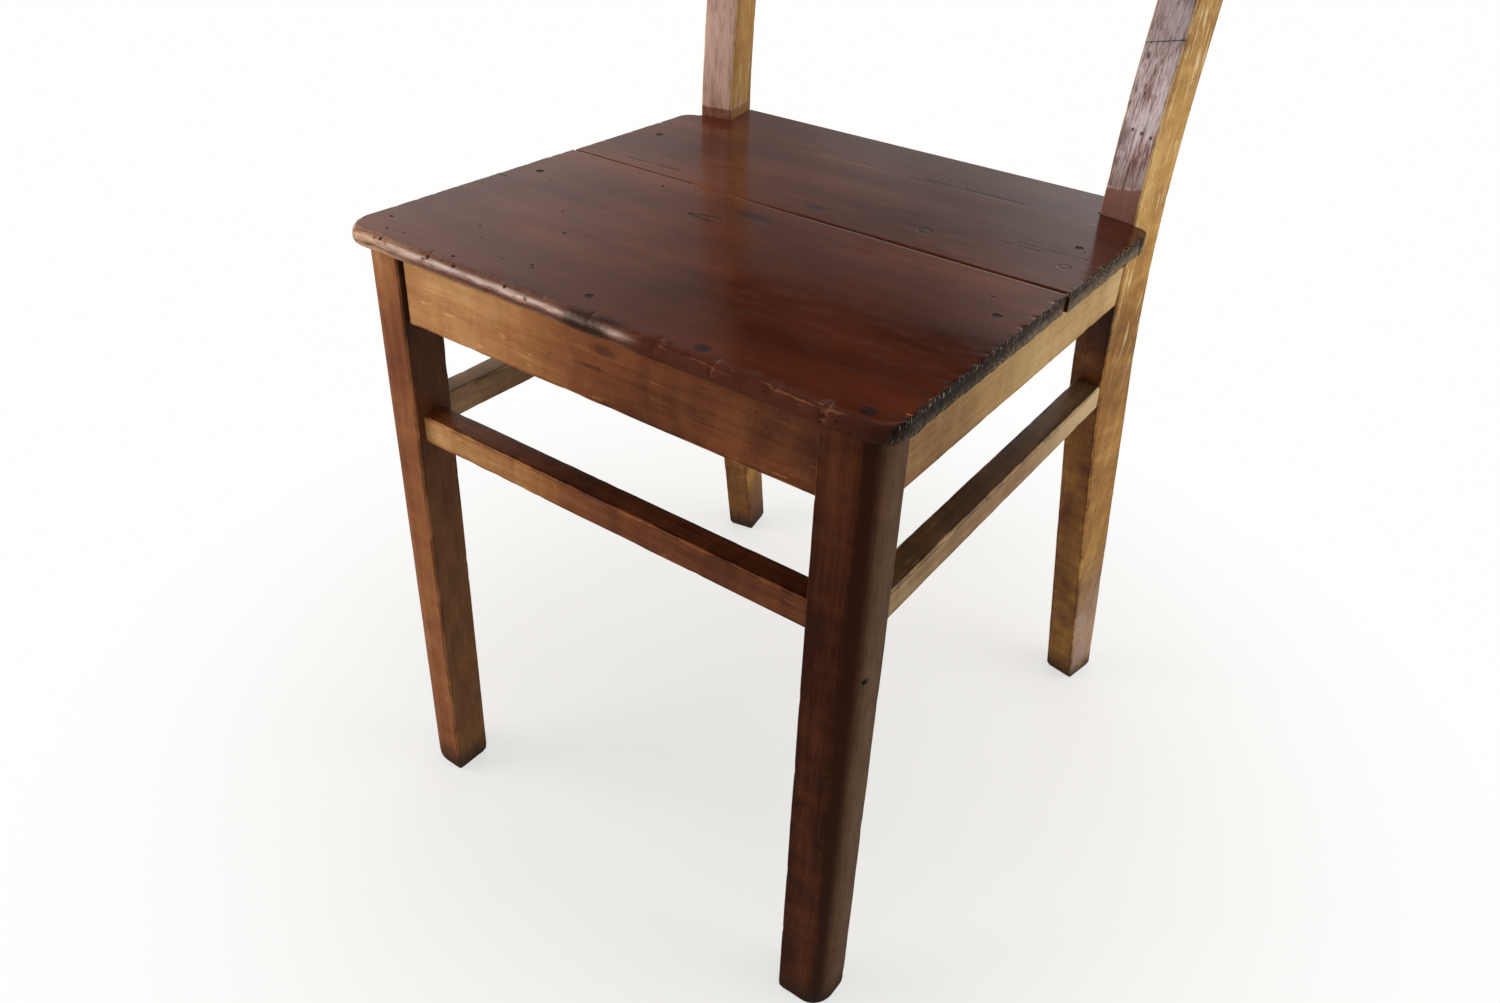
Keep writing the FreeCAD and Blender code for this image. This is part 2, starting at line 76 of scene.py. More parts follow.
LEG_WIDTH = 34.0
LEG_FRONT = 5.3
LEG_BACK = 34.8
LEG_OUTER_TOP = 180.5
LEG_SPLAY = 8.3
LEG_ROUND = 17.0
ARRIS = 1.6
EASED_END = 5.0

CHAIR_HEIGHT = 790.0
POST_WIDTH = 26.0
POST_TOE = math.radians(11.2)
POST_X = 173.4
POST_Y = 319.2
POST_KNEE_Z = 412.0
POST_REAR_KNEE_Z = 429.0
POST_RAKE = math.radians(14.0)
BACK_LEAN = math.radians(8.0)
POST_FOOT = POST_KNEE_Z * math.tan(POST_RAKE)
POST_TOP = (CHAIR_HEIGHT - POST_KNEE_Z) * math.tan(BACK_LEAN)
POST_FOOT_DEPTH = 31.6
POST_KNEE_DEPTH = 42.7
POST_TOP_DEPTH = 22.0
POST_FRONT_RADIUS = 740.0
POST_REAR_RADIUS = 700.0

RAIL_THICKNESS = 18.0
# How far a rail's shoulder runs into the leg or post.
SHOULDER_LAP = 0.6
SIDE_APRON_OUTER = 175.5
SIDE_STRETCHER_OUTER = 177.0
APRON_BOTTOM = 395.0
SIDE_APRON_BOTTOM = 392.0
STRETCHER_TOP = 328.5
STRETCHER_BOTTOM = 309.0
FRONT_APRON_Y = 8.3
FRONT_STRETCHER_Y = 11.3
REAR_APRON_Y = 348.0

BACK_BOTTOM = 582.0
BACK_TOP = 784.0
BACK_THICKNESS = 14.0
BACK_RADIUS = 788.0
BACK_MIDDLE_Y = 376.0
BACK_END_Y = BACK_MIDDLE_Y - 14.0
BACK_LENGTH = 300.0
BACK_SLOPE = math.tan(BACK_LEAN) * math.cos(POST_TOE)

# Wear of the frame's timber: chips on each arris, and the waviness of the faces.
CHIP_COUNT = 6
WAVINESS = 0.12
SMALLEST_ARRIS = 0.35
FAR_FROM_ARRIS = 9.0
SHARP_TIMBER = math.radians(40.0)
SHARP_BOARD = math.radians(38.0)
SEEDS = {
    "front_leg": 11,
    "rear_post": 21,
    "side_apron": 31,
    "side_stretcher": 35,
    "rear_apron": 41,
    "front_apron": 43,
    "front_stretcher": 45,
    "backrest_board": 51,
    "seat_front_board": 61,
    "seat_rear_board": 62,
}

# Dents in the seat's rounded front edge: (X, half width, depth, lowest Z).
NOSE_DENTS = [
    (7.7, 1.2, 0.4, 430.0),
    (-60.0, 8.0, 0.4, 430.0),
    (-114.0, 1.6, 0.5, 443.0),
    (52.0, 2.5, 0.8, 443.0),
    (60.0, 4.0, 0.5, 443.0),
    (87.0, 1.3, 0.9, 442.0),
    (107.0, 4.0, 0.7, 443.0),
    (122.0, 3.0, 0.8, 443.0),
    (138.0, 6.0, 0.5, 443.0),
    (151.0, 1.8, 1.9, 441.0),
]
# Nails and empty holes that are cut into the seat: (X, Y), and for the empty ones the radius and depth.
NAILS = [(-8.6, 20.4), (-170.0, 148.0), (168.6, 144.1), (-165.7, 268.4), (164.3, 268.4)]
NAIL_DISH = (2.7, 1.5)
EMPTY_HOLES = [(-91.0, 181.5, 1.0, 3.0), (-101.4, 9.9, 1.1, 3.0), (-184.0, 9.9, 0.9, 2.5)]
HOLE_SIDES = 18
RING_NAIL = (169.5, 233.6)
PLUG = (79.6, 228.5)

# Painted spots on the seat: (X, Y, half width, half depth).
SEAT_KNOTS = [(74.1, 11.6, 6.0, 5.0), (168.9, 11.0, 6.0, 5.0)]
SEAT_CLOUDS = [(7.1, 216.4, 14.0, 7.0), (-14.0, 176.0, 22.0, 9.0), (19.0, 4.5, 17.0, 4.0)]
SEAT_HOLES = [
    (-91.0, 181.5, 1.5, 1.3),
    (-101.4, 9.9, 1.7, 1.3),
    (-184.0, 9.9, 1.5, 1.3),
    (156.3, 165.0, 3.0, 1.1),
    (-60.0, 30.0, 2.2, 1.0),
    (-57.0, 27.5, 1.2, 0.9),
    (170.0, 263.0, 1.3, 0.9),
    (-154.0, 2.2, 1.6, 1.2),
    (-114.0, 2.4, 1.5, 1.1),
    (-93.0, 2.2, 1.9, 0.9),
    (-53.0, 2.0, 1.3, 0.9),
]
# Painted lines on the seat: (X, Y, X, Y, half width).
SEAT_CRACKS = [
    (-187.0, 125.5, -178.0, 125.8, 0.8),
    (-46.6, 154.0, -27.5, 159.9, 1.1),
    (-47.0, 153.0, -28.0, 150.5, 1.0),
    (-149.0, 212.0, -128.0, 213.2, 0.7),
    (-122.0, 213.5, -103.0, 214.2, 0.8),
    (30.0, 317.6, 52.0, 318.2, 0.8),
    (63.0, 318.0, 105.0, 318.6, 0.9),
    (7.7, -2.0, 7.2, 6.5, 0.6),
    (180.0, 15.3, 188.0, 15.6, 1.0),
    (182.0, 33.0, 188.0, 33.4, 0.9),
    (180.0, 60.0, 188.0, 60.3, 0.7),
    (178.0, 96.0, 188.0, 96.4, 0.7),
    (120.0, 246.0, 150.0, 246.6, 0.6),
    (132.0, 252.0, 176.0, 252.8, 0.6),
]
PALE_CHIPS = [
    (50.0, 0.6, 54.0, 1.4, 1.2),
    (42.0, -0.4, 47.0, 0.2, 1.0),
    (87.1, -0.5, 87.3, 3.0, 0.8),
    (104.0, 0.4, 110.0, 1.0, 0.9),
    (120.0, 0.4, 124.0, 0.8, 0.9),
    (149.0, 1.4, 155.0, 2.0, 1.2),
    (183.5, 20.0, 188.0, 20.4, 0.9),
    (185.0, 38.5, 188.0, 39.0, 0.8),
    (184.5, 168.0, 188.0, 168.2, 0.9),
    (183.5, 181.0, 188.0, 181.4, 0.8),
]
JOINT_FILLING = [(-78.0, 198.6, -34.0, 198.2, 1.6), (-25.0, 198.0, 2.0, 197.6, 0.9)]
# Small holes in the right post's face: (share of its width from the outside, Z).
POST_HOLES = [(0.67, 506.0), (0.42, 505.0), (0.16, 503.7)]

# In metres: half depths of marks that go through a piece, and the width of a growth ring.
THROUGH_APRON = 0.05
THROUGH_SEAT = 1.0
RING_WIDTH = 0.0024

# The camera, fitted to the photo.
PHOTO_WIDTH = 1500.0
FOCAL_PIXELS = 1126.2247
SENSOR_WIDTH = 36.0
CAMERA_YAW, CAMERA_PITCH, CAMERA_ROLL = 0.594094, -0.597246, 0.054640
CAMERA_PLACE = (374.504, -384.827, 698.705)
# The direction in which the seat mirrors the window, and the brightness of the soft fill.
WINDOW_DIRECTION = (-0.748, -0.641, 0.175)
FILL = 0.42
FLOOR_HALF = 8.0


def place(x, y, z):
    """A point in the row frame."""
    return Vector((x * MM, y * MM + FRONT_Y, z * MM))


def linear(*screen):
    """A colour as it looks on a screen, 0 to 255, turned into the shader's linear values."""
    shares = [value / 255.0 for value in screen]
    return tuple(s / 12.92 if s < 0.0404 else ((s + 0.055) / 1.055) ** 2.4 for s in shares) + (1.0,)


def ripple(*coordinates):
    """Smooth repeatable noise from -1 to 1."""
    return noise.noise(Vector(coordinates))


def ease(value, low, high):
    """0 below low, 1 above high and a smooth step between them."""
    t = min(1.0, max(0.0, (value - low) / (high - low)))
    return t * t * (3.0 - 2.0 * t)


def bell(value, middle, half):
    """1 at the middle, falling off smoothly to both sides."""
    return math.exp(-(((value - middle) / half) ** 2))


def at_place(value, where):
    """What a value is at a place, if it is a function, or the value itself."""
    return value(where) if callable(value) else value


def sided(stem, side):
    """A node's name; side is 1 on the right, -1 on the left and 0 for a piece in the middle."""
    return stem + ("", "_right", "_left")[side]


def new_mesh(name, points, faces):
    """A mesh from its points and faces."""
    mesh = bpy.data.meshes.new(name)
    mesh.from_pydata(points, [], faces)
    return mesh


def add_object(name, data):
    """A new object in the scene."""
    thing = bpy.data.objects.new(name, data)
    bpy.context.scene.collection.objects.link(thing)
    return thing


def dress(node, mesh, material):
    """A new wooden piece that takes the place of a CAD node."""
    mesh.materials.append(material)
    piece = add_object(node + "_wood", mesh)
    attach(piece, "root")
    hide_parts(node)
    return piece


class Timber:
    """Rings of points joined into one wooden piece, with what its finish needs to know at each point."""

    def __init__(self, seed):
        self.points = []
        self.faces = []
        self.grain = []
        self.edge = []
        self.stain = []
        self.haze_sheen = []
        self.seed = seed

    def add(self, point, grain, edge, stain, haze_sheen):
        offset = self.seed * 0.731
        self.points.append(point)
        self.grain.append((grain[0] * MM + offset, grain[1] * MM + offset * 0.37, grain[2] * MM))
        self.edge.append(edge)
        self.stain.append(stain)
        self.haze_sheen.append(haze_sheen)
        return len(self.points) - 1

    def ring(self, samples):
        return [self.add(*sample) for sample in samples]

    def skin(self, rings):
        for low, high in zip(rings, rings[1:]):
            count = len(low)
            for i in range(count):
                j = (i + 1) % count
                self.faces.append((low[i], low[j], high[j], high[i]))

    def cap(self, ring, turned):
        """Closes an end with points of its own, far from any arris."""
        copy = [self.add(self.points[i], (0, 0, 0), FAR_FROM_ARRIS, self.stain[i], 0.0) for i in ring]
        for new, old in zip(copy, ring):
            self.grain[new] = self.grain[old]
        self.faces.append(tuple(reversed(copy)) if turned else tuple(copy))

    def turn_faces(self):
        self.faces = [tuple(reversed(face)) for face in self.faces]

    def build(self, node, material, side):
        """The finished piece; side -1 makes it the mirror image in the chair's middle plane."""
        if side < 0:
            self.points = [Vector((-p.x, p.y, p.z)) for p in self.points]
            self.turn_faces()
        mesh = new_mesh(node + "_wood", self.points, self.faces)
        grain = mesh.attributes.new("grain", "FLOAT_VECTOR", "POINT")
        grain.data.foreach_set("vector", [value for triple in self.grain for value in triple])
        for label, values in (("edge", self.edge), ("stain", self.stain), ("haze_sheen", self.haze_sheen)):
            mesh.attributes.new(label, "FLOAT", "POINT").data.foreach_set("value", values)
        mesh.shade_smooth()
        mesh.set_sharp_from_angle(angle=SHARP_TIMBER)
        dress(node, mesh, material)


def on_arc(centre, radius, turn):
    """The point of a circle at an angle."""
    return centre[0] + radius * math.cos(turn), centre[1] + radius * math.sin(turn)


def rounded_section(a0, a1, b0, b1, radii, arc_steps, face_steps, soft):
    """Points of a rounded rectangle: (a, b, way to the nearest worn arris, side as a number 0 to 4)."""
    corners = [(a0, b0, 1, 1), (a1, b0, -1, 1), (a1, b1, -1, -1), (a0, b1, 1, -1)]
    centres = [(a + sa * radius, b + sb * radius) for (a, b, sa, sb), radius in zip(corners, radii)]
    points = []
    for index in range(4):
        start = math.pi * (1.0 + index / 2.0)
        for step in range(arc_steps + 1):
            at = on_arc(centres[index], radii[index], start + step / arc_steps * math.pi / 2)
            points.append((*at, (index - 1) % 4 + step / arc_steps, step))
        following = (index + 1) % 4
        last = points[-1]
        goal = on_arc(centres[following], radii[following], start + math.pi / 2)
        for step in range(1, face_steps[index]):
            t = step / face_steps[index]
            a = last[0] + (goal[0] - last[0]) * t
            b = last[1] + (goal[1] - last[1]) * t
            points.append((a, b, float(index), None))
    return measured(points, arc_steps, soft)


def measured(points, arc_steps, soft):
    """Adds to each point of a section its way along the outline to the nearest arris."""
    way = [0.0]
    for one, two in zip(points, points[1:] + points[:1]):
        way.append(way[-1] + math.hypot(two[0] - one[0], two[1] - one[1]))
    total = way.pop()
    arrises = []
    corner = -1
    for index, point in enumerate(points):
        if point[3] == 0:
            corner += 1
            if corner not in soft:
                arrises.append((way[index] + way[index + arc_steps]) / 2)
    result = []
    for index, point in enumerate(points):
        gaps = [abs(way[index] - arris) for arris in arrises]
        gaps += [total - gap for gap in gaps]
        result.append((point[0], point[1], min(gaps), point[2]))
    return result


def side_stain(sides, side, t):
    """Stain at a place of the section: each side's own value, blended round the arrises."""
    if callable(sides):
        return sides(side, t)
    low = int(math.floor(side)) % 4
    here = at_place(sides[low], t)
    there = at_place(sides[(low + 1) % 4], t)
    return here + (there - here) * (side - math.floor(side))


def chips(rng, length):
    """Places along an arris where a little wood is missing: (where, half length, extra radius)."""
    return [
        (rng.uniform(0, length), rng.uniform(1.5, 6.0), rng.uniform(0.3, 1.0)) for _ in range(CHIP_COUNT)
    ]


def worn_radius(base, wear, flaws, where, seed, corner):
    """Radius of an arris at a place along it: rounded, worn more here and there, chipped at the flaws."""
    radius = base + wear * (0.5 + 0.5 * ripple(where / 38.0, seed * 3.1, corner * 5.7)) * 1.2
    radius += wear * 0.35 * ripple(where / 7.0, seed * 1.7, corner * 2.3)
    for middle, half, extra in flaws:
        radius += extra * bell(where, middle, half)
    return max(SMALLEST_ARRIS, radius)


def timber_bar(
    stem, side, stations, extents, transform, radii, wear, sides, material,
    haze_sheen=(0.0, 0.0, 0.0, 0.0), soft=(), arc_steps=4, spacing=7.0, slot="frame_wood", turned=False,
):
    """A bar: a rounded section at each station along it, moved into place by transform(a, b, station).

    extents gives the section's box, as (a0, a1, b0, b1) or as a function of the station.
    """
    seed = SEEDS[stem] + side
    rng = random.Random(seed)
    piece = Timber(seed)
    length = abs(stations[-1] - stations[0])
    flaws = [chips(rng, length) for _ in range(4)]
    boxes = [at_place(extents, station) for station in stations]
    a0, a1, b0, b1 = boxes[0]
    width = max(2, round((a1 - a0) / spacing))
    depth = max(2, round((b1 - b0) / spacing))
    rings = []
    for station, box in zip(stations, boxes):
        along = abs(station - stations[0])
        worn = [
            radius if corner in soft else worn_radius(radius, wear, flaws[corner], along, seed, corner)
            for corner, radius in enumerate(radii)
        ]
        section = rounded_section(*box, worn, arc_steps, [width, depth] * 2, soft)
        samples = []
        for a, b, edge, place_round in section:
            shake_x = ripple(station / 45.0, a / 30.0, seed + 0.3)
            shake_y = ripple(station / 45.0, b / 30.0, seed + 7.9)
            point = transform(a, b, station) + Vector((shake_x, shake_y, 0.0)) * WAVINESS * MM
            stain = side_stain(sides, place_round, along / length)
            # How much haze and painted sheen lies at this point.
            sheen_haze = side_stain(haze_sheen, place_round, along / length)
            samples.append((point, (along, a, b), edge, stain, sheen_haze))
        rings.append(piece.ring(samples))
    piece.skin(rings)
    piece.cap(rings[0], True)
    piece.cap(rings[-1], False)
    if turned:
        piece.turn_faces()
    piece.build(sided(stem, side), material, side)


def spread(start, stop, step):
    """Evenly spaced stations from start to stop, about step apart."""
    count = max(2, round(abs(stop - start) / step))
    return [start + (stop - start) * i / count for i in range(count + 1)]


def eased_ends(stations):
    """Rising stations with a few more close to both ends, where arrises are eased."""
    steps = [EASED_END * share for share in (0.25, 0.6)]
    extra = [stations[0] + step for step in steps] + [stations[-1] - step for step in steps]
    return sorted(set(stations + extra))


def graded(start, *changes):
    """A stain, haze or painted light that goes from its start through changes of (amount, from, to) along a
    piece.
    """

    def stain(t):
        value = start
        for amount, low, high in changes:
            value += amount * ease(t, low, high)
        return value

    return stain


def leg_outer(z):
    """X of the right front leg's outer face at a height."""
    return LEG_OUTER_TOP + LEG_SPLAY * (SEAT_UNDERSIDE - z) / SEAT_UNDERSIDE


def bend(low, corner, high, radius):
    """Y as a function of Z along two straight runs joined by an arc; points are (y, z)."""
    down = (Vector(low) - Vector(corner)).normalized()
    up = (Vector(high) - Vector(corner)).normalized()
    half = down.angle(up) / 2
    reach = radius / math.tan(half)
    centre = Vector(corner) + (down + up).normalized() * radius / math.sin(half)
    first = Vector(corner) + down * reach
    last = Vector(corner) + up * reach

    def y_at(z):
        if z <= first.y:
            return low[0] + (corner[0] - low[0]) * (z - low[1]) / (corner[1] - low[1])
        if z >= last.y:
            return corner[0] + (high[0] - corner[0]) * (z - corner[1]) / (high[1] - corner[1])
        return centre.x - math.sqrt(radius**2 - (z - centre.y) ** 2)

    return y_at


post_front = bend((POST_FOOT, 0.0), (0.0, POST_KNEE_Z), (POST_TOP, CHAIR_HEIGHT), POST_FRONT_RADIUS)
post_rear = bend(
    (POST_FOOT + POST_FOOT_DEPTH, 0.0),
    (POST_KNEE_DEPTH, POST_REAR_KNEE_Z),
    (POST_TOP + POST_TOP_DEPTH, CHAIR_HEIGHT),
    POST_REAR_RADIUS,
)


def on_post(a, b, z):
    """A point of the right post from its own axes: a outwards from the outer face, b backwards."""
    x = POST_X + a * math.cos(POST_TOE) + b * math.sin(POST_TOE)
    y = POST_Y - a * math.sin(POST_TOE) + b * math.cos(POST_TOE)
    return place(x, y, z)


def post_face_y(x, z):
    """Y of the right post's front face at a place across the chair."""
    return POST_Y - (x - POST_X) * math.tan(POST_TOE) + post_front(z) / math.cos(POST_TOE)


def post_inner_x(y):
    """X of the right post's inner face at a distance behind the front of the seat."""
    inner = POST_X - POST_WIDTH * math.cos(POST_TOE)
    start = POST_Y + POST_WIDTH * math.sin(POST_TOE)
    return inner + (y - start) * math.tan(POST_TOE)


class Field:
    """A value that a node gives. Arithmetic on it, and the steps below, add further nodes."""

    def __init__(self, graph, socket):
        self.graph = graph
        self.socket = socket

    def __add__(self, other):
        return self.graph.math("ADD", self, other)

    def __sub__(self, other):
        return self.graph.math("SUBTRACT", self, other)

    def __rsub__(self, other):
        return self.graph.math("SUBTRACT", other, self)

    def __mul__(self, other):
        return self.graph.math("MULTIPLY", self, other)

    def __truediv__(self, other):
        return self.graph.math("DIVIDE", self, other)

    def __abs__(self):
        return self.graph.math("ABSOLUTE", self)

    def rise(self, low, high, to_low=0.0, to_high=1.0):
        """A smooth step from to_low, below low, to to_high, above high."""
        inputs = dict(enumerate((self, low, high, to_low, to_high)))
        return self.graph.make("ShaderNodeMapRange", inputs, interpolation_type="SMOOTHSTEP")

    def fall(self, low, high):
        """A smooth step from 1, below low, to 0, above high."""
        return self.rise(low, high, 1.0, 0.0)


class Graph:
    """The node tree of a material or world, with short calls for the few kinds of node used here."""

    def __init__(self, owner):
        self.owner = owner
        owner.use_nodes = True
        self.tree = owner.node_tree
        self.shader = next(n for n in self.tree.nodes if n.type in ("BSDF_PRINCIPLED", "BACKGROUND"))
        self.sources = {}
        self.colour = None

    def feed(self, socket, value):
        """Links a field to a socket, or sets the socket to a constant."""
        if isinstance(value, Field):
            self.tree.links.new(value.socket, socket)
        else:
            socket.default_value = value

    def put(self, name, value):
        """Feeds an input of the shader."""
        self.feed(self.shader.inputs[name], value)

    def make(self, kind, inputs, output=0, **settings):
        """A new node from its settings and inputs; gives the output that is asked for."""
        node = self.tree.nodes.new(kind)
        for name, value in settings.items():
            setattr(node, name, value)
        for key, value in inputs.items():
            self.feed(node.inputs[key], value)
        return Field(self, node.outputs[output])

    def source(self, kind, output, **settings):
        """An output of a node that has no inputs; such a node is made only once."""
        key = (kind, output, *settings.values())
        if key not in self.sources:
            self.sources[key] = self.make(kind, {}, output, **settings)
        return self.sources[key]

    @property
    def position(self):
        return self.source("ShaderNodeTexCoord", "Object")

    @property
    def normal(self):
        return self.source("ShaderNodeNewGeometry", "Normal")

    def attribute(self, name, output="Fac"):
        return self.source("ShaderNodeAttribute", output, attribute_name=name)

    def parts(self, vector):
        outputs = self.make("ShaderNodeSeparateXYZ", {0: vector}).socket.node.outputs
        return [Field(self, socket) for socket in outputs]

    def math(self, operation, one, two=0.0):
        return self.make("ShaderNodeMath", {0: one, 1: two}, operation=operation)

    def vector(self, operation, one, two=(0.0, 0.0, 0.0)):
        output = 1 if operation in ("LENGTH", "DOT_PRODUCT") else 0
        return self.make("ShaderNodeVectorMath", {0: one, 1: two}, output, operation=operation)

    def most(self, *fields):
        """The highest of some values."""
        total = fields[0]
        for field in fields[1:]:
            total = self.math("MAXIMUM", total, field)
        return total

    def mix(self, share, one, two):
        return self.make("ShaderNodeMix", {0: share, 6: one, 7: two}, 2, data_type="RGBA")

    def cover(self, share, colour):
        """Lays a colour over what is there so far."""
        self.colour = self.mix(share, self.colour, colour)

    def paint(self, share, *screen):
        """Lays an even colour, as it looks on a screen, over what is there so far."""
        self.cover(share, linear(*screen))

    def noise(self, vector, scale, detail, roughness, distortion=0.0):
        """Cloudy noise about 0.5; scale is one number, or one for each axis."""
        if isinstance(scale, tuple):
            vector = self.vector("MULTIPLY", vector, scale)
            scale = 1.0
        inputs = {"Vector": vector, "Scale": scale, "Detail": detail, "Roughness": roughness}
        return self.make("ShaderNodeTexNoise", {**inputs, "Distortion": distortion})

    def grainy(self, along, across, *settings):
        """Noise drawn out along the grain of a bar."""
        return self.noise(self.attribute("grain", "Vector"), (along, across, across), *settings)

    def clouds(self, *settings):
        """Noise in the object's own space."""
        return self.noise(self.position, *settings)

    def cells(self, vector):
        """Scattered points in a plane: the distance to the nearest one, and a colour of its own."""
        inputs = {"Vector": vector, "Scale": 1.0}
        distance = self.make("ShaderNodeTexVoronoi", inputs, "Distance", voronoi_dimensions="2D")
        return distance, Field(self, distance.socket.node.outputs["Color"])

    def ramp(self, value, stops):
        """A colour for a value, from stops of (place, colour)."""
        result = self.make("ShaderNodeValToRGB", {0: value})
        elements = result.socket.node.color_ramp.elements
        while len(elements) < len(stops):
            elements.new(1.0)
        for element, (place_on_ramp, colour) in zip(elements, stops):
            element.position = place_on_ramp
            element.color = colour
        return result

    def spot(self, middle, half_sizes, rough=0.0, softness=0.45):
        """1 inside an ellipsoid, fading to 0 at its rim; rough is noise that frays the rim."""
        shift = self.vector("SUBTRACT", self.position, middle)
        scaled = self.vector("MULTIPLY", shift, tuple(1.0 / size for size in half_sizes))
        return (self.vector("LENGTH", scaled) + rough).fall(1.0 - softness, 1.0)

    def stroke(self, start, stop, half_width, rough):
        """1 on a straight line of the given half width, fading to 0 at its sides."""
        run = stop - start
        shift = self.vector("SUBTRACT", self.position, start)
        share = self.vector("DOT_PRODUCT", shift, run / run.length_squared)
        share = self.math("MINIMUM", self.most(share, 0.0), 1.0)
        along = self.make("ShaderNodeVectorMath", {0: run, "Scale": share}, operation="SCALE")
        distance = self.vector("LENGTH", self.vector("SUBTRACT", shift, along))
        return (distance + rough).fall(half_width * 0.4, half_width)

    def bump(self, height, strength, distance):
        return self.make("ShaderNodeBump", {"Strength": strength, "Distance": distance, "Height": height})


def shades(*rows):
    """Stops for a ramp from rows of (place, red, green, blue)."""
    return [(place_on_ramp, linear(*colour)) for place_on_ramp, *colour in rows]


def stains(*colours):
    """Stops for a ramp at even distances, from pale to dark stain."""
    return [(i / (len(colours) - 1), linear(*colour)) for i, colour in enumerate(colours)]


BROWN = stains((208, 172, 122), (182, 139, 86), (152, 106, 58), (118, 71, 37), (85, 43, 22), (50, 21, 11))
OCHRE = stains((224, 188, 130), (192, 150, 84), (157, 112, 49), (122, 80, 35), (88, 48, 24), (52, 23, 12))
RUST = stains((212, 172, 126), (185, 136, 90), (153, 99, 59), (120, 67, 38), (86, 44, 24), (50, 21, 11))
TAN = stains((208, 184, 148), (180, 154, 118), (152, 126, 94), (114, 86, 58), (80, 57, 37), (48, 28, 18))
SAND = stains((210, 180, 134), (184, 148, 102), (154, 118, 76), (118, 82, 50), (84, 50, 28), (50, 24, 13))

# Haze and painted sheen over the stain: partly whitened varnish, partly a sheen of light painted onto the
# posts' fronts and the front legs' rounded and inner sides.
WHITE_SHEEN_HAZE = shades((0.4, 82, 48, 42), (0.46, 142, 108, 104), (0.52, 210, 188, 188), (0.6, 240, 228, 230))
WARM_SHEEN_HAZE = shades((0.37, 112, 72, 54), (0.44, 168, 128, 110), (0.51, 200, 162, 146), (0.64, 218, 186, 172))
OLIVE_SHEEN_HAZE = shades((0.36, 60, 41, 22), (0.48, 86, 60, 34), (0.56, 106, 76, 44), (0.68, 128, 97, 60))
BROWN_SHEEN_HAZE = shades((0.36, 62, 42, 28), (0.48, 86, 64, 45), (0.56, 100, 77, 55), (0.68, 122, 98, 74))

SEAT_COLOURS = shades((0.34, 52, 20, 10), (0.46, 69, 29, 15), (0.56, 83, 37, 20), (0.7, 107, 55, 32))
# Colours across the seat's nose from its lower to its upper edge; the pale stop at 0.74 is partly a painted
# highlight.
NOSE_COLOURS_AND_HIGHLIGHT = shades(
    (0.0, 190, 136, 76),
    (0.14, 158, 104, 56),
    (0.26, 88, 46, 28),
    (0.5, 110, 64, 44),
    (0.74, 214, 178, 160),
    (1.0, 124, 84, 66),
)
END_COLOURS = shades((0.42, 16, 11, 8), (0.5, 42, 32, 24), (0.575, 68, 55, 43), (0.68, 120, 102, 84))
BARE_COLOURS = shades((0.3, 150, 112, 72), (0.55, 186, 150, 104), (0.75, 206, 174, 128))


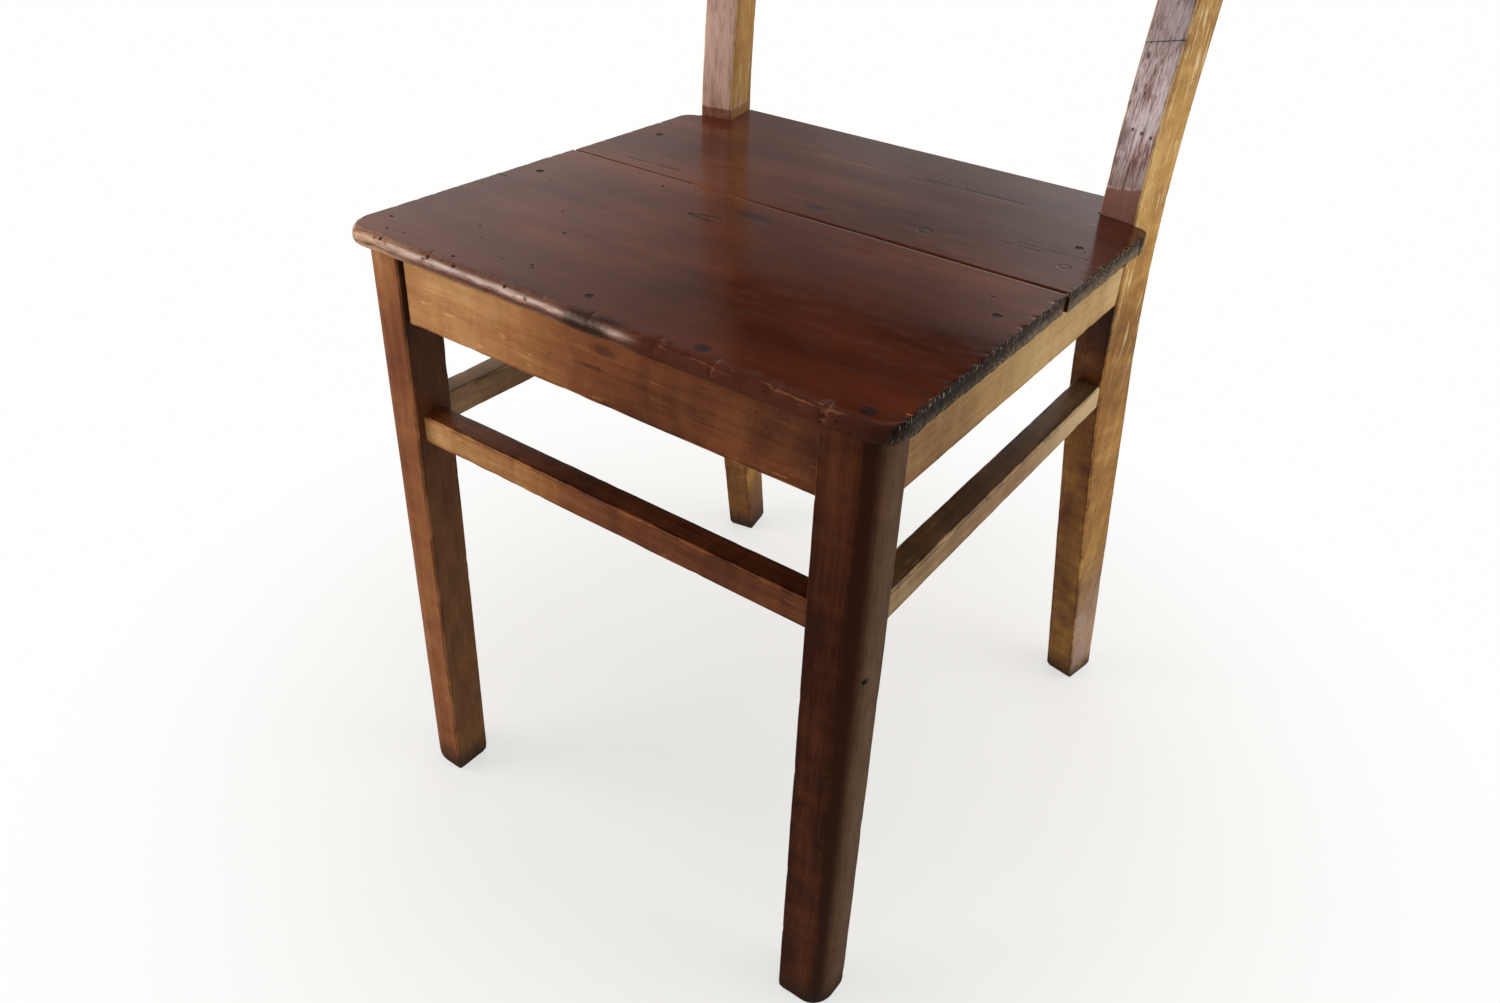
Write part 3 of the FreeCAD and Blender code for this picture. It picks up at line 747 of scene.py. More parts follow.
def frame_wood(name, specular, colours=BROWN, sheen_haze=WHITE_SHEEN_HAZE, flecks=0.6, mottle=1.0, marks=None):
    """Varnished softwood: stain by place (in parts painted light and shade), grain, smudges, worn and dirty
    arrises, haze with painted sheen, flecks, dark feet.
    """
    g = Graph(bpy.data.materials.new(name))
    edge = g.attribute("edge")
    streak = g.grainy(6.0, 170.0, 6.0, 0.62, 0.5)
    pores = g.grainy(55.0, 1900.0, 2.0, 0.5)
    blotch = g.grainy(8.0, 20.0, 4.0, 0.55)
    smudge = g.grainy(60.0, 24.0, 5.0, 0.62, 0.6)
    patch = g.grainy(34.0, 70.0, 4.0, 0.6)
    fray = g.grainy(130.0, 260.0, 4.0, 0.65)

    reach = patch.rise(0.4, 0.7, 0.25, 2.4)
    wear = (edge / reach).fall(fray * 0.5 + 0.2, fray * 0.8 + 0.5)
    grime = edge.fall(0.0, smudge * 4.0 + 0.8) * (1.0 - wear)
    pale = g.grainy(62.0, 560.0, 3.0, 0.55, 0.4).rise(0.62, 0.69) * patch.rise(0.46, 0.62)
    level = g.attribute("stain") + (blotch - 0.5) * (0.5 * mottle) + (smudge - 0.5) * (0.34 * mottle)
    level += (streak - 0.5) * 0.36 + (pores - 0.5) * 0.22
    level += grime * 0.2 - wear * (0.1 + 0.15 * flecks) - pale * (0.38 * flecks)
    tone = g.grainy(5.0, 11.0, 3.0, 0.5)
    tint = g.mix(tone.rise(0.36, 0.64), (1.0, 0.93, 0.84, 1.0), (0.97, 1.0, 0.88, 1.0))
    g.colour = g.vector("MULTIPLY", g.ramp(level, colours), tint)

    # Painted sheen: a pale veil laid over the stain where each point's haze attribute asks for it, partly
    # whitened varnish and partly a sheen of light painted in.
    veil = g.grainy(40.0, 700.0, 5.0, 0.7, 0.7)
    veil = veil * 0.42 + patch * 0.28 + blotch * 0.2 + pores * 0.14
    g.cover(g.attribute("haze_sheen"), g.ramp(veil, sheen_haze))
    specks = g.grainy(150.0, 900.0, 2.0, 0.5, 0.4).rise(0.67, 0.71) * smudge.rise(0.46, 0.6)
    g.paint(specks * (0.9 * flecks), 40, 21, 13)
    foot = (g.parts(g.position)[2] + (fray - 0.5) * 0.02).fall(0.003, 0.03)
    g.paint(foot * 0.85, 48, 33, 24)
    if marks is not None:
        marks(g, fray)

    g.put("Base Color", g.colour)
    g.put("Roughness", level.rise(0.0, 1.0, 0.5, 0.34) + (fray - 0.5) * 0.24 + foot * 0.2)
    height = pores * 0.3 + streak * 0.45 - pale * 0.4 - specks * 0.8 + fray * 0.25
    g.put("Normal", g.bump(height, 0.35, 0.0005))
    g.put("Specular IOR Level", specular)
    return g.owner


def apron_marks(g, fray):
    """A dark knot and dash on the front apron, and a reddish spot at its lower edge."""

    def spot(x, z, across, high, softness):
        middle = place(x, FRONT_APRON_Y, z)
        return g.spot(middle, (across, THROUGH_APRON, high), (fray - 0.5) * 0.9, softness)

    dark = g.most(spot(11.0, 428.5, 0.012, 0.005, 0.8), spot(2.0, 416.5, 0.014, 0.0018, 0.8))
    g.paint(dark * 0.7, 52, 27, 18)
    g.paint(spot(23.5, 402.0, 0.014, 0.006, 0.9) * 0.5, 78, 30, 20)


def right_leg_marks(g, fray):
    """A small hole in the rounded corner of the right front leg."""
    hole = g.spot(place(183.4, 16.5, 288.0), (0.0032, 0.0032, 0.0026), (fray - 0.5) * 0.3, 0.4)
    g.paint(hole, 14, 8, 6)


def varnish_band(g, fray, shade, top, slope=0.0, inside=0.0):
    """The band of seat varnish that was brushed up against the foot of the back."""
    x, _, z = g.parts(g.position)
    drips = g.clouds((150.0, 150.0, 20.0), 2.0, 0.5)
    height = z + (fray - 0.5) * 0.003 + (drips - 0.5) * 0.004 - x * slope
    band = g.math("MINIMUM", height.fall(top - 0.001, top + 0.001), z.rise(0.437, 0.441))
    rim = height.rise(top - 0.0004, top + 0.0004) * height.fall(top + 0.0008, top + 0.0024)
    here = g.most(g.attribute("haze_sheen").rise(0.1, 0.25), g.parts(g.normal)[0].rise(0.6, 0.9, 0.0, inside))
    g.paint(rim * here * fray.rise(0.46, 0.58, 0.0, 0.5), 206, 182, 176)
    g.paint(band * here * fray.rise(0.3, 0.7, 0.95, 0.7), *shade)


def rubbed_post(g, fray, scratched):
    """Pale scratches along a post's sides above the stretchers, and its front arrises rubbed through."""
    z = g.parts(g.position)[2]
    lines = g.grainy(42.0, 560.0, 3.0, 0.6, 0.3).rise(0.54, 0.6)
    where = g.grainy(14.0, 90.0, 3.0, 0.55).rise(0.42, 0.56)
    sideways = abs(g.parts(g.normal)[0]).rise(0.75, 0.92)
    scratches = lines * where * sideways * z.rise(0.3, 0.4, 0.15, 1.0)
    g.paint(scratches * scratched, 232, 208, 158)
    rubbed = g.attribute("edge").fall(0.3, 0.9) * g.attribute("haze_sheen").rise(0.05, 0.2) * z.rise(0.44, 0.47)
    g.paint(rubbed * fray.rise(0.34, 0.5, 0.0, 0.8), 212, 172, 106)


def left_post_marks(g, fray):
    """The varnish band, rubbed arrises and a few scratches."""
    rubbed_post(g, fray, 0.35)
    varnish_band(g, fray, (112, 60, 34), 0.4575, inside=0.7)


def right_post_marks(g, fray):
    """The varnish band, a worn patch, a thin line across the face, three small holes and a dark spot."""
    slope = 0.2
    middle_x = 0.1484
    rubbed_post(g, fray, 0.72)
    varnish_band(g, fray, (130, 84, 74), 0.4665 - slope * middle_x, slope)

    def at(share, z):
        return on_post(-POST_WIDTH * share, post_front(z), z)

    worn = g.spot(at(0.86, 501.0), (0.008, 0.008, 0.013), (fray - 0.5) * 1.2, 0.9)
    g.paint(worn * 0.7, 104, 66, 60)
    holes = [g.spot(at(share, z), (0.0014, 0.0014, 0.0016)) for share, z in POST_HOLES]
    knot = g.spot(at(0.8, 549.0), (0.002, 0.002, 0.0034), softness=0.7)
    line = g.stroke(at(0.99, 555.4), at(0.01, 561.2), 0.0006, (fray - 0.5) * 0.0012)
    g.paint(g.most(*holes, knot, line) * 0.85, 38, 18, 16)


def seat_marks(g, fray):
    """Knots, holes, cracks, pale chips, joint filling and plug of the seat, each where it lies."""
    rough = (fray - 0.5) * 0.7
    thin = (fray - 0.5) * 0.0012

    def spot(x, y, across, deep, softness=0.45):
        return g.spot(place(x, y, SEAT_TOP), (across * MM, deep * MM, THROUGH_SEAT), rough, softness)

    def stroke(x0, y0, x1, y1, width):
        return g.stroke(place(x0, y0, SEAT_TOP), place(x1, y1, SEAT_TOP), width * MM, thin)

    def strokes(marks):
        return g.most(*[stroke(*mark) for mark in marks])

    cracked_edge = g.spot(place(5.0, 1.0, 443.5), (0.026, 0.012, 0.0125), rough, 0.65)
    clouds = [spot(*mark, softness=0.9) for mark in SEAT_CLOUDS]
    knots = g.most(*[spot(*mark) for mark in SEAT_KNOTS], *clouds, cracked_edge)
    plug = spot(*PLUG, 4.0, 3.2)
    rings = [spot(*PLUG, 5.6, 4.6) - plug, spot(*RING_NAIL, 5.2, 4.4) - spot(*RING_NAIL, 4.0, 3.3)]
    nails = [spot(*nail, 3.2, 2.7) for nail in NAILS]
    holes = g.most(*rings, *[spot(*mark) for mark in SEAT_HOLES], *nails)
    return knots, holes, strokes(SEAT_CRACKS), strokes(PALE_CHIPS), strokes(JOINT_FILLING), plug


def seat_wood(name):
    """Dark red-brown glossy boards: clouded colour, marks, a worn nose with a partly painted highlight, and
    greyed torn ends.
    """
    g = Graph(bpy.data.materials.new(name))
    x, y, z = g.parts(g.position)
    normal_x, _, normal_z = g.parts(g.normal)
    behind = y - FRONT_Y
    streak = g.clouds((2.2, 70.0, 70.0), 5.0, 0.55, 0.3)
    fine = g.clouds((16.0, 1000.0, 600.0), 3.0, 0.55)
    blotch = g.clouds((7.0, 13.0, 13.0), 4.0, 0.55)
    fray = g.clouds((420.0, 420.0, 420.0), 4.0, 0.6)
    scuffs = g.clouds((40.0, 110.0, 60.0), 4.0, 0.6)
    rub = g.clouds((60.0, 500.0, 500.0), 5.0, 0.65)

    # The seat's colour: paler at the left and front, darker and greyer at the right.
    level = streak * 0.22 + blotch * 0.64 + fine * 0.14 + x.rise(-0.19, 0.06, 0.09, 0.0)
    level += x.rise(-0.19, -0.05, 0.1, 0.0) * behind.fall(0.0, 0.12)
    g.colour = g.ramp(level, SEAT_COLOURS)
    g.paint(x.rise(0.0, 0.13, 0.0, 0.17), 46, 28, 22)

    # The rounded front edge, rubbed through at the left, with a pale upper band there that is partly a
    # painted highlight; chipped and dark at the right.
    turned = abs(normal_z).fall(0.7, 0.95)
    nose = (behind + (fray - 0.5) * 0.006).fall(0.001, 0.0062)
    nose = g.most(nose, turned * behind.fall(0.014, 0.022))
    left = (x + (blotch - 0.5) * 0.06).fall(0.014, 0.046)
    nose_bands_and_highlight = g.ramp(z.rise(0.438, 0.45) + (rub - 0.5) * 0.3, NOSE_COLOURS_AND_HIGHLIGHT)
    nose_bands_and_highlight = g.mix(x.rise(-0.17, -0.11, 0.85, 0.0) * rub.rise(0.3, 0.5), nose_bands_and_highlight, linear(206, 164, 132))
    g.cover(nose * left * rub.rise(0.36, 0.6, 0.45, 1.0) * 0.92, nose_bands_and_highlight)
    chipped = g.clouds((75.0, 460.0, 460.0), 4.0, 0.62).rise(0.53, 0.62)
    chipped *= behind.rise(0.0008, 0.0018) * behind.fall(0.003, 0.0056)
    chipped *= x.rise(0.03, 0.045) * x.fall(0.155, 0.165)
    g.paint(chipped * 0.5, 142, 90, 62)
    g.paint(nose * x.rise(0.15, 0.18, 0.0, 0.55), 38, 15, 6)

    # Marks, each where it lies, and small nicks, dots and scores.
    knots, holes, cracks, pale, gold, plug = seat_marks(g, fray)
    g.paint(knots * 0.8, 28, 14, 16)
    g.paint(plug * 0.85, 54, 44, 42)
    g.paint(pale * 0.7, 164, 96, 60)
    g.paint(gold * 0.75, 150, 88, 40)
    brow = behind.fall(0.004, 0.03)
    nicks = g.clouds((260.0, 620.0, 300.0), 2.0, 0.5, 0.3)
    nicks = (nicks + brow * 0.035).rise(0.7, 0.74) * (scuffs + brow * 0.1).rise(0.5, 0.62)
    gap, pick = g.cells(g.vector("MULTIPLY", g.position, (52.0, 80.0, 1.0)))
    size, chance, _ = g.parts(pick)
    often = g.math("GREATER_THAN", chance + brow * 0.4 + x.rise(-0.05, 0.05, 0.0, -0.4), 0.94)
    dots = ((gap + (fray - 0.5) * 0.06) / (size * 0.07 + 0.035)).fall(0.75, 1.0) * often * (1.0 - turned)
    scores = g.clouds((34.0, 760.0, 1.0), 2.0, 0.5, 0.4).rise(0.665, 0.71)
    scores *= scuffs.rise(0.47, 0.58) * x.rise(-0.05, 0.07) * (1.0 - turned)
    dark = g.most(holes, cracks, nicks * 0.7, dots, scores * 0.62)
    g.paint(dark * 0.92, 14, 8, 7)

    # The torn ends: growth rings about a heart below each board, fibres, a dark brink and splinters.
    tangle = g.clouds((40.0, 430.0, 170.0), 5.0, 0.68, 1.4)
    fibre = g.clouds((300.0, 1500.0, 1500.0), 3.0, 0.6)
    rear = g.math("GREATER_THAN", behind, (REAR_BOARD_FRONT - 1.0) * MM)
    heart_y = behind - (rear * 0.13 + 0.1)
    heart_z = z - (rear * -0.02 + 0.405)
    radius = g.math("SQRT", heart_y * heart_y + heart_z * heart_z)
    growth = g.math("SINE", (radius + rub * 0.003) * (2.0 * math.pi / RING_WIDTH))
    end_level = tangle * 0.7 + fibre * 0.2 + blotch * 0.12 + growth * 0.035
    end_level += z.rise(0.438, 0.45, 0.1, -0.09)
    end_level += behind.rise(0.04, 0.18, -0.055, 0.03) + behind.rise(0.15, 0.32, 0.0, 0.05)
    end = (abs(normal_x) + (fray - 0.5) * 0.5).rise(0.55, 0.85)
    brink = abs(x) + (rub - 0.5) * 0.006
    singed = brink.rise(0.1835, 0.1875) * behind.rise(0.2, 0.26, 0.8, 0.35)
    g.paint(singed, 26, 15, 11)
    g.cover(end, g.ramp(end_level, END_COLOURS))
    splinters = g.clouds((160.0, 700.0, 260.0), 4.0, 0.6).rise(0.56, 0.62)
    splinters *= brink.rise(0.1845, 0.1865) * z.rise(0.445, 0.448)
    g.paint(splinters * 0.6, 166, 146, 122)

    g.put("Base Color", g.colour)
    matt = nose * (1.0 - left) * 0.4
    g.put("Roughness", scuffs.rise(0.35, 0.75, 0.13, 0.24) + dark * 0.4 + end * 0.45 + knots * 0.06 + matt)
    height = streak * 0.1 + fine * 0.1 - g.most(holes, dots) * 1.4 - cracks * 0.4 - knots * 0.3 - pale * 0.5
    height += end * tangle * 4.0 + nose * rub * 1.2 - chipped * 0.3
    g.put("Normal", g.bump(height, 0.25, 0.0006))
    g.put("Specular IOR Level", 0.12)
    broken = g.clouds((80.0, 300.0, 420.0), 4.0, 0.6).rise(0.4, 0.52, 0.1, 1.0)
    gloss = nose * left * x.rise(-0.17, -0.13) * broken
    g.put("Coat Weight", gloss * (1.0 - g.most(dark, knots)))
    g.put("Coat Roughness", 0.2)
    return g.owner


def bare_wood(name):
    """Unvarnished pale wood of the glued blocks."""
    g = Graph(bpy.data.materials.new(name))
    streak = g.clouds((60.0, 60.0, 9.0), 5.0, 0.6, 0.4)
    fine = g.clouds((900.0, 900.0, 60.0), 2.0, 0.5)
    g.put("Base Color", g.ramp(streak * 0.75 + fine * 0.25, BARE_COLOURS))
    g.put("Roughness", fine.rise(0.2, 0.8, 0.6, 0.8))
    g.put("Normal", g.bump(streak + fine, 0.3, 0.0005))
    return g.owner


def metal(name, dark, light, low, high):
    """Dull old metal with rust-brown stains, between two colours and two values of roughness."""
    g = Graph(bpy.data.materials.new(name))
    stain = g.clouds(420.0, 4.0, 0.6)
    grit = g.clouds(2600.0, 3.0, 0.6)
    g.put("Base Color", g.ramp(stain * 0.7 + grit * 0.3, shades((0.35, *dark), (0.65, *light))))
    g.put("Roughness", grit.rise(0.3, 0.7, low, high))
    g.put("Normal", g.bump(grit, 0.4, 0.0002))
    g.put("Metallic", 0.85)
    return g.owner


FRAME_WOOD = frame_wood("frame_wood_varnish", 0.18)
APRON_WOOD = frame_wood("front_apron_varnish", 0.14, RUST, flecks=0.7, marks=apron_marks)
SIDE_APRON_WOOD = frame_wood("side_apron_varnish", 0.18, SAND)
STRETCHER_WOOD = frame_wood("side_stretcher_varnish", 0.18, TAN)
LEFT_LEG_WOOD = frame_wood("left_leg_varnish", 0.16, RUST, OLIVE_SHEEN_HAZE, 0.5)
RIGHT_LEG_WOOD = frame_wood("right_leg_varnish", 0.08, RUST, BROWN_SHEEN_HAZE, 0.12, marks=right_leg_marks)
LEFT_POST_WOOD = frame_wood("left_post_varnish", 0.3, OCHRE, WARM_SHEEN_HAZE, 0.5, 1.3, left_post_marks)
RIGHT_POST_WOOD = frame_wood("right_post_varnish", 0.28, OCHRE, WHITE_SHEEN_HAZE, 0.5, 1.5, right_post_marks)
BACK_WOOD = frame_wood("backrest_varnish", 0.14, flecks=0.3)
SEAT_WOOD = seat_wood("seat_wood_varnish")


def front_leg(side):
    """One front leg with its rounded outer corner."""
    middle_y = (LEG_FRONT + LEG_BACK) / 2

    def stain(place_round, t):
        if side < 0:
            # Painted light: the left leg's front is paler than the right's, partly its own stain and partly
            # light from the left, and paler still at its top, where the seat above shades it.
            front = 0.5 + 0.1 * t - 0.24 * ease(t, 0.84, 1.0)
            return side_stain([front, 0.55, 0.6, 0.64 + 0.33 * t], place_round, t)
        # Painted shade: a darker band along the middle of the right leg's rounded corner, where it turns
        # away from the light; its dark front is partly painted shade too.
        if place_round <= 1.0:
            return 0.93 + 0.2 * bell(place_round, 0.46, 0.17)
        return side_stain([0.93, 0.93, 0.7, 0.8], place_round, t)

    def sheen(place_round, t):
        if side < 0:
            return side_stain([0.0, 0.0, 0.4, 0.8 - 0.6 * ease(t, 0.3, 0.9)], place_round, t)
        shown = 1.0 - ease(place_round, 1.0, 2.0)
        return 0.7 * ease(place_round, 0.5, 0.85 - 0.1 * (1.0 - t)) * shown

    def extents(z):
        return leg_outer(z) - LEG_WIDTH, leg_outer(z), LEG_FRONT, LEG_BACK

    def transform(a, b, z):
        middle_x = leg_outer(z) - LEG_WIDTH / 2
        tuck = 1.0 - 0.1 * (1.0 - ease(z, 0.0, 4.0))
        tuck -= 0.05 * (1.0 - ease(z, 3.0, 9.0)) * (0.5 + 0.5 * ripple(a / 9.0, b / 9.0, side))
        return place(middle_x + (a - middle_x) * tuck, middle_y + (b - middle_y) * tuck, z)

    stations = eased_ends(spread(0.0, SEAT_UNDERSIDE, 4.5))
    radii = [ARRIS, LEG_ROUND, ARRIS, ARRIS]
    finish = RIGHT_LEG_WOOD if side > 0 else LEFT_LEG_WOOD
    timber_bar("front_leg", side, stations, extents, transform, radii, 0.6, stain, finish, sheen, (1,), 12)


def rear_post(side):
    """One bent rear post, toed inwards."""

    def extents(z):
        return -POST_WIDTH, 0.0, post_front(z), post_rear(z)

    def transform(a, b, z):
        middle_a = -POST_WIDTH / 2
        middle_b = (post_front(z) + post_rear(z)) / 2
        tuck = 1.0 - 0.1 * (1.0 - ease(z, 0.0, 4.0)) - 0.16 * ease(z, CHAIR_HEIGHT - 3.5, CHAIR_HEIGHT)
        return on_post(middle_a + (a - middle_a) * tuck, middle_b + (b - middle_b) * tuck, z)

    def dirt(t):
        return 0.0 if side > 0 else 0.36 * (1.0 - ease(t, 0.03, 0.13))

    def front(t):
        return 0.62 + 0.1 * ease(t, 0.2, 0.4) + 0.18 * ease(t, 0.41, 0.52) + 0.15 * dirt(t)

    # Painted light: the outer face is paler in a narrow band just under the seat, where the seat shades it.
    def outer(t):
        return 0.44 - 0.07 * ease(t, 0.38, 0.5) - 0.07 * ease(t, 0.5, 0.62) - 0.14 * bell(t, 0.53, 0.05)

    def inner(t):
        return 0.4 + dirt(t)

    # Painted sheen, partly whitened varnish: a pale veil on the posts' front faces above the seat, and a
    # weaker one on their outer faces.
    if side > 0:
        front_sheen_haze = graded(0.0, (0.26, 0.5, 0.56), (0.66, 0.585, 0.628), (-0.5, 0.665, 0.72))
    else:
        front_sheen_haze = graded(0.0, (0.95, 0.5, 0.56))
    outer_sheen_haze = graded(0.3, (-0.3, 0.04, 0.22))
    stains_round = [front, outer, 0.5, inner]
    sheen_hazes = [front_sheen_haze, outer_sheen_haze, 0.0, 0.0]
    stations = eased_ends(spread(0.0, CHAIR_HEIGHT, 5.0))
    finish = RIGHT_POST_WOOD if side > 0 else LEFT_POST_WOOD
    radii = [ARRIS] * 4
    timber_bar("rear_post", side, stations, extents, transform, radii, 0.55, stains_round, finish, sheen_hazes)


def front_rail(node, y0, z0, z1, sides, radius, left_gap, material):
    """A rail between the front legs, its shoulders following the legs' splay."""
    length = 2 * (leg_outer(z0) - LEG_WIDTH)
    box = (y0, y0 + RAIL_THICKNESS, z0, z1)

    def transform(a, b, s):
        reach = leg_outer(b) - LEG_WIDTH
        low = -reach + left_gap
        return place(low + (reach + SHOULDER_LAP - low) * (s / length), a, b)

    stations = [share * length for share in spread(0.0, 1.0, 0.016)]
    timber_bar(node, 0, stations, box, transform, [radius] * 4, 0.7, sides, material)


def side_rail(stem, side, outer, z0, z1, sides, radius, material):
    """A rail from a front leg's back to a rear post's front face."""
    length = post_face_y(outer, z0) - LEG_BACK
    box = (outer - RAIL_THICKNESS, outer, z0, z1)

    def transform(a, b, s):
        stop = post_face_y(a, b) + SHOULDER_LAP
        return place(a, LEG_BACK - SHOULDER_LAP + (stop - LEG_BACK + SHOULDER_LAP) * s / length, b)

    stations = spread(0.0, length, 5.0)
    timber_bar(stem, side, stations, box, transform, [radius] * 4, 0.7, sides, material, turned=True)


def rear_apron(sides):
    """The rail between the rear posts under the seat."""
    half = post_inner_x(REAR_APRON_Y + RAIL_THICKNESS / 2)
    box = (REAR_APRON_Y, REAR_APRON_Y + RAIL_THICKNESS, APRON_BOTTOM, SEAT_UNDERSIDE)

    def transform(a, b, s):
        return place(s / half * post_inner_x(a), a, b)

    stations = spread(-half, half, 5.0)
    timber_bar("rear_apron", 0, stations, box, transform, [1.2] * 4, 0.6, sides, FRAME_WOOD)


def backrest(sides):
    """The broad curved board between the posts."""
    centre_y = BACK_MIDDLE_Y - BACK_RADIUS
    box = (-BACK_THICKNESS / 2, BACK_THICKNESS / 2, BACK_BOTTOM, BACK_TOP)
    look = {"spacing": 5.0, "slot": "back_wood"}

    def transform(a, b, s):
        lean = BACK_SLOPE * (b - BACK_BOTTOM)
        reach = post_inner_x(BACK_END_Y + lean) + SHOULDER_LAP
        angle = s / BACK_LENGTH * 2 * math.asin(reach / BACK_RADIUS)
        radius = BACK_RADIUS + a
        return place(radius * math.sin(angle), centre_y + radius * math.cos(angle) + lean, b)

    stations = spread(-BACK_LENGTH / 2, BACK_LENGTH / 2, 5.0)
    timber_bar("backrest_board", 0, stations, box, transform, [4.0] * 4, 0.5, sides, BACK_WOOD, **look)


def board_section(y0, y1, nose, rear_round, top_step):
    """Closed section of a seat board in Y and Z, from the front underside over the front to the rear."""
    low, high = SEAT_UNDERSIDE, SEAT_TOP
    steps = 7
    rear_steps = 3
    points = []
    for start, centre in ((math.pi * 1.5, (y0 + nose, low + nose)), (math.pi, (y0 + nose, high - nose))):
        points += [on_arc(centre, nose, start - step / steps * math.pi / 2) for step in range(steps + 1)]
    inner = spread(y0 + nose, y1 - rear_round, top_step)[1:-1]
    points += [(y, high) for y in inner]
    centre = (y1 - rear_round, high - rear_round)
    for step in range(rear_steps + 1):
        points.append(on_arc(centre, rear_round, math.pi / 2 - step / rear_steps * math.pi / 2))
    points.append((y1, low))
    points += [(y, low) for y in reversed(inner)]
    return points


def board_stations(x0, x1, corner):
    """Stations across a board, closer together at dents and where its corners turn."""
    stations = spread(x0 + corner, x1 - corner, 4.0) + [x0, x1]
    for where, width, _, _ in NOSE_DENTS:
        stations += [where + width * k for k in (-1.8, -1.1, -0.5, 0.0, 0.5, 1.1, 1.8)]
    for k in (0.985, 0.93, 0.84, 0.7, 0.52, 0.3, 0.0):
        stations += [x1 - corner + corner * k, x0 + corner - corner * k]
    return sorted(set(round(s, 4) for s in stations))


def seat_board(node, x0, x1, front, rear, nose, corner, rear_round):
    """A seat board lofted across the chair; front and rear are Y of its edges, or functions of X."""
    seed = SEEDS[node]
    section = board_section(0.0, SECTION_DEPTH, nose, rear_round, 0.8)
    flat = SECTION_DEPTH - rear_round
    dents = NOSE_DENTS if node == "seat_front_board" else []
    half = (x1 - x0) / 2
    points = []
    rings = []
    for x in board_stations(x0, x1, corner):
        y0 = at_place(front, x)
        y1 = at_place(rear, x)
        from_middle = x - (x0 + x1) / 2
        torn = max(0.0, (abs(from_middle) - half + TORN_REACH) / TORN_REACH) ** 2
        sign = 1.0 if from_middle > 0 else -1.0
        ring = []
        for y, z in section:
            if y < nose:
                real = y0 + y
            elif y > flat - 1e-6:
                real = y1 - (SECTION_DEPTH - y)
            else:
                real = y0 + nose + (y - nose) / (flat - nose) * (y1 - rear_round - y0 - nose)
            lift = 0.0
            if z > SEAT_TOP - 2.0:
                lift = 0.16 * ripple(x / 60.0, real / 45.0, seed)
                tear = 0.7 * ripple(real / 1.9, 1.3, seed + sign) + ripple(real / 9.0, 5.0, seed + sign)
                lift -= torn * max(0.0, tear - 0.12) * (1.5 if sign > 0 else 0.5)
            shift = 0.4 * ripple(real / 2.1, z / 3.5, seed + sign)
            shift += 0.7 * ripple(real / 11.0, 2.2, seed + sign) - 0.6
            shift *= 1.0 if sign > 0 else 0.5
            dent = 0.0
            if y < nose:
                dent = 0.3 * ripple(x / 16.0, z / 7.0, seed + 4.4) + 0.25
            for where, width, deep, lowest in dents:
                cut = deep * bell(x, where, width) * ease(z, lowest, lowest + 2.5)
                if y < nose:
                    dent += cut * min(1.0, 2.0 * (nose - y) / nose)
                if z > SEAT_TOP - 3.0:
                    fading = 1.0 - ease(real - y0, nose + 0.5, nose + 4.0)
                    lift -= 0.5 * cut * ease(real - y0, 0.5, nose) * fading
            ring.append(len(points))
            points.append(place(x + shift * torn * sign, real + dent, z + lift))
        rings.append(ring)
    faces = []
    count = len(section)
    for low, high in zip(rings, rings[1:]):
        for i in range(count):
            j = (i + 1) % count
            faces.append((low[i], high[i], high[j], low[j]))
    faces.append(tuple(rings[0]))
    faces.append(tuple(reversed(rings[-1])))
    piece = dress(node, new_mesh(node + "_wood", points, faces), SEAT_WOOD)
    drill(piece)
    piece.data.shade_smooth()
    piece.data.set_sharp_from_angle(angle=SHARP_BOARD)


def drill(piece):
    """Cuts the nails' dished places and a few empty holes into a seat board."""
    points = []
    faces = []
    for x, y, radius, depth in [(*nail, *NAIL_DISH) for nail in NAILS] + EMPTY_HOLES:
        start = len(points)
        for z in (SEAT_TOP - depth, SEAT_TOP + 3.0):
            for k in range(HOLE_SIDES):
                turn = 2 * math.pi * k / HOLE_SIDES
                reach = radius * (1.0 + 0.3 * ripple(math.cos(turn) * 2.0, math.sin(turn) * 2.0, x))
                points.append(place(*on_arc((x, y), reach, turn), z))
        low = [start + k for k in range(HOLE_SIDES)]
        high = [start + HOLE_SIDES + k for k in range(HOLE_SIDES)]
        for k in range(HOLE_SIDES):
            j = (k + 1) % HOLE_SIDES
            faces.append((low[k], low[j], high[j], high[k]))
        faces += [tuple(reversed(low)), tuple(high)]
    cutter = add_object("holes", new_mesh("holes", points, faces))
    modifier = piece.modifiers.new("holes", "BOOLEAN")
    modifier.operation = "DIFFERENCE"
    modifier.solver = "MANIFOLD"
    modifier.object = cutter
    shape = piece.evaluated_get(bpy.context.evaluated_depsgraph_get())
    drilled = bpy.data.meshes.new_from_object(shape)
    piece.modifiers.clear()
    piece.data = drilled
    bpy.data.objects.remove(cutter)


def rounded_front(x):
    """Front edge of the seat: straight, with rounded corners."""
    past = abs(x) - (SEAT_HALF - SEAT_CORNER)
    if past <= 0:
        return 0.0
    return SEAT_CORNER - math.sqrt(max(0.0, SEAT_CORNER**2 - past**2))


def groove_rear(x):
    """Rear edge of the front board: the groove behind it is tight on the left and open on the right."""
    tight = 1.35 * (1.0 - ease(x, -60.0, 40.0))
    return FRONT_BOARD_DEPTH + tight - 0.5 * ease(x, 40.0, SEAT_HALF) + 0.2 * ripple(x / 21.0, 3.3, 0.7)


